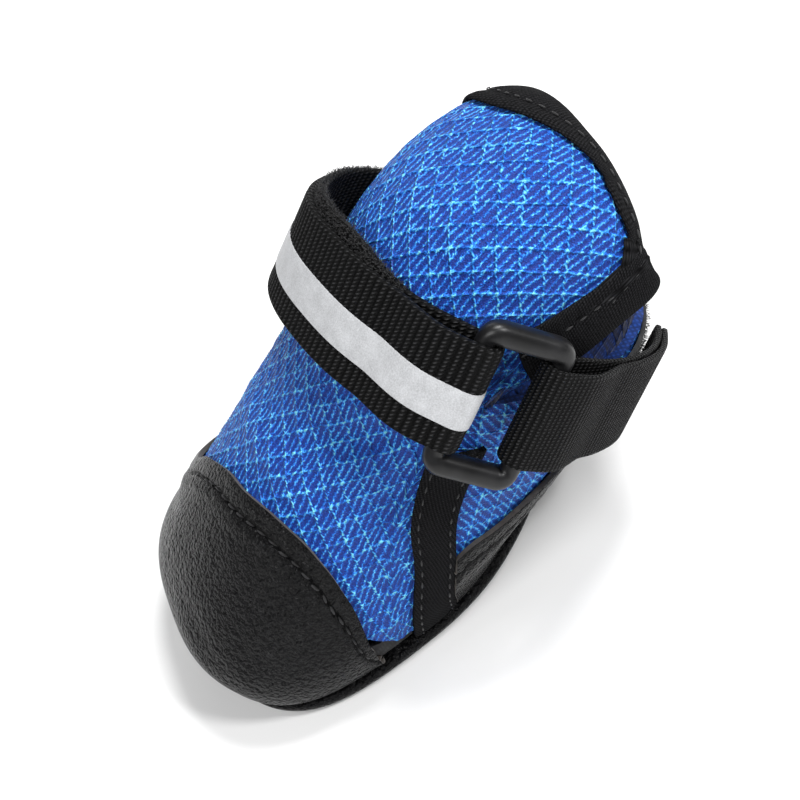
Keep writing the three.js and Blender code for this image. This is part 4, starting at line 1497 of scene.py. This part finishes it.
# ---------------------------------------------------------------- stage
CAMERA = {
    "place": (-16.5, 215.0, 300.35),
    "target": (-12.2, -4.1, 35.0),
    "up": (-0.4613, -0.6877, 0.5606),
    "field": 27.5,
}
# Each light's name, place in metres, disk size in metres and power in watts.
LIGHTS = (
    ("key", (-0.42, -0.16, 0.9), 0.30, 8.0),
    ("side", (-0.52, 0.38, 0.72), 0.16, 4.5),
    ("fill", (0.32, 0.4, 0.8), 0.5, 4.5),
    ("rim", (-0.2, -0.9, 0.45), 0.5, 1.6),
)
LIT_PLACE = (0, 0, 0.03)
AMBIENT = 0.2


class BOOT_OT_stage(bpy.types.Operator):
    """Sets the floor, the soft lights and the camera"""

    bl_idname = "boot.stage"
    bl_label = "Stage"

    def execute(self, context):
        floor_z = CAD_BOX[0].z - 0.02 * MM
        bpy.ops.object.select_all(action="DESELECT")
        bpy.ops.mesh.primitive_grid_add(x_subdivisions=8, y_subdivisions=8, size=6, location=(0, 0, floor_z))
        floor = bpy.context.object
        floor.name = "floor"
        bpy.ops.object.transform_apply(location=True, rotation=False, scale=False)
        floor.data.materials.append(studio_floor("floor_paint", tuple(colours().floor)))
        for setting in LIGHTS:
            self.light(*setting)
        world = bpy.data.worlds.new("studio")
        world.use_nodes = True
        world.node_tree.nodes["Background"].inputs["Color"].default_value = (1, 1, 1, 1)
        world.node_tree.nodes["Background"].inputs["Strength"].default_value = AMBIENT
        context.scene.world = world
        context.scene.view_settings.view_transform = "Standard"
        self.camera(context)
        return {"FINISHED"}

    @staticmethod
    def light(name, place, size, power):
        data = bpy.data.lights.new(name, "AREA")
        data.shape = "DISK"
        data.size = size
        data.energy = power
        lamp = bpy.data.objects.new(name, data)
        lamp.location = place
        lamp.rotation_euler = (Vector(LIT_PLACE) - Vector(place)).to_track_quat("-Z", "Y").to_euler()
        bpy.context.scene.collection.objects.link(lamp)

    @staticmethod
    def camera(context):
        data = bpy.data.cameras.new("camera")
        data.angle = math.radians(CAMERA["field"])
        data.clip_start = 0.01
        camera = bpy.data.objects.new("camera", data)
        context.scene.collection.objects.link(camera)
        back = (Vector(CAMERA["place"]) - Vector(CAMERA["target"])).normalized()
        up = Vector(CAMERA["up"])
        right = up.cross(back).normalized()
        up = back.cross(right)
        turn = Matrix((right, up, back)).transposed().to_4x4()
        camera.matrix_world = Matrix.Translation(Vector(CAMERA["place"]) * MM) @ turn
        context.scene.camera = camera


# ---------------------------------------------------------------- panel and registration
STEPS = (
    BOOT_OT_mesh_panels, BOOT_OT_leather, BOOT_OT_sole, BOOT_OT_tapes, BOOT_OT_strap,
    BOOT_OT_ring, BOOT_OT_loop_patch, BOOT_OT_stage,
)


class BOOT_PT_panel(bpy.types.Panel):
    """Sizes, colours and steps of the boot"""

    bl_idname = "BOOT_PT_panel"
    bl_label = "Dog boot"
    bl_space_type = "VIEW_3D"
    bl_region_type = "UI"
    bl_category = "Boot"

    def draw(self, context):
        for group in (sizes(), colours()):
            box = self.layout.box()
            for name in group.bl_rna.properties.keys():
                if name not in ("rna_type", "name"):
                    box.prop(group, name)
        for step in STEPS:
            self.layout.operator(step.bl_idname)


CLASSES = (BootSizes, BootColours, *STEPS, BOOT_PT_panel)


def register():
    for item in CLASSES:
        bpy.utils.register_class(item)
    bpy.types.Scene.boot_sizes = PointerProperty(type=BootSizes)
    bpy.types.Scene.boot_colours = PointerProperty(type=BootColours)


def unregister():
    del bpy.types.Scene.boot_colours
    del bpy.types.Scene.boot_sizes
    for item in reversed(CLASSES):
        bpy.utils.unregister_class(item)


def main():
    register()
    for step in STEPS:
        group, name = step.bl_idname.split(".")
        getattr(getattr(bpy.ops, group), name)()


if __name__ == "__main__":
    main()
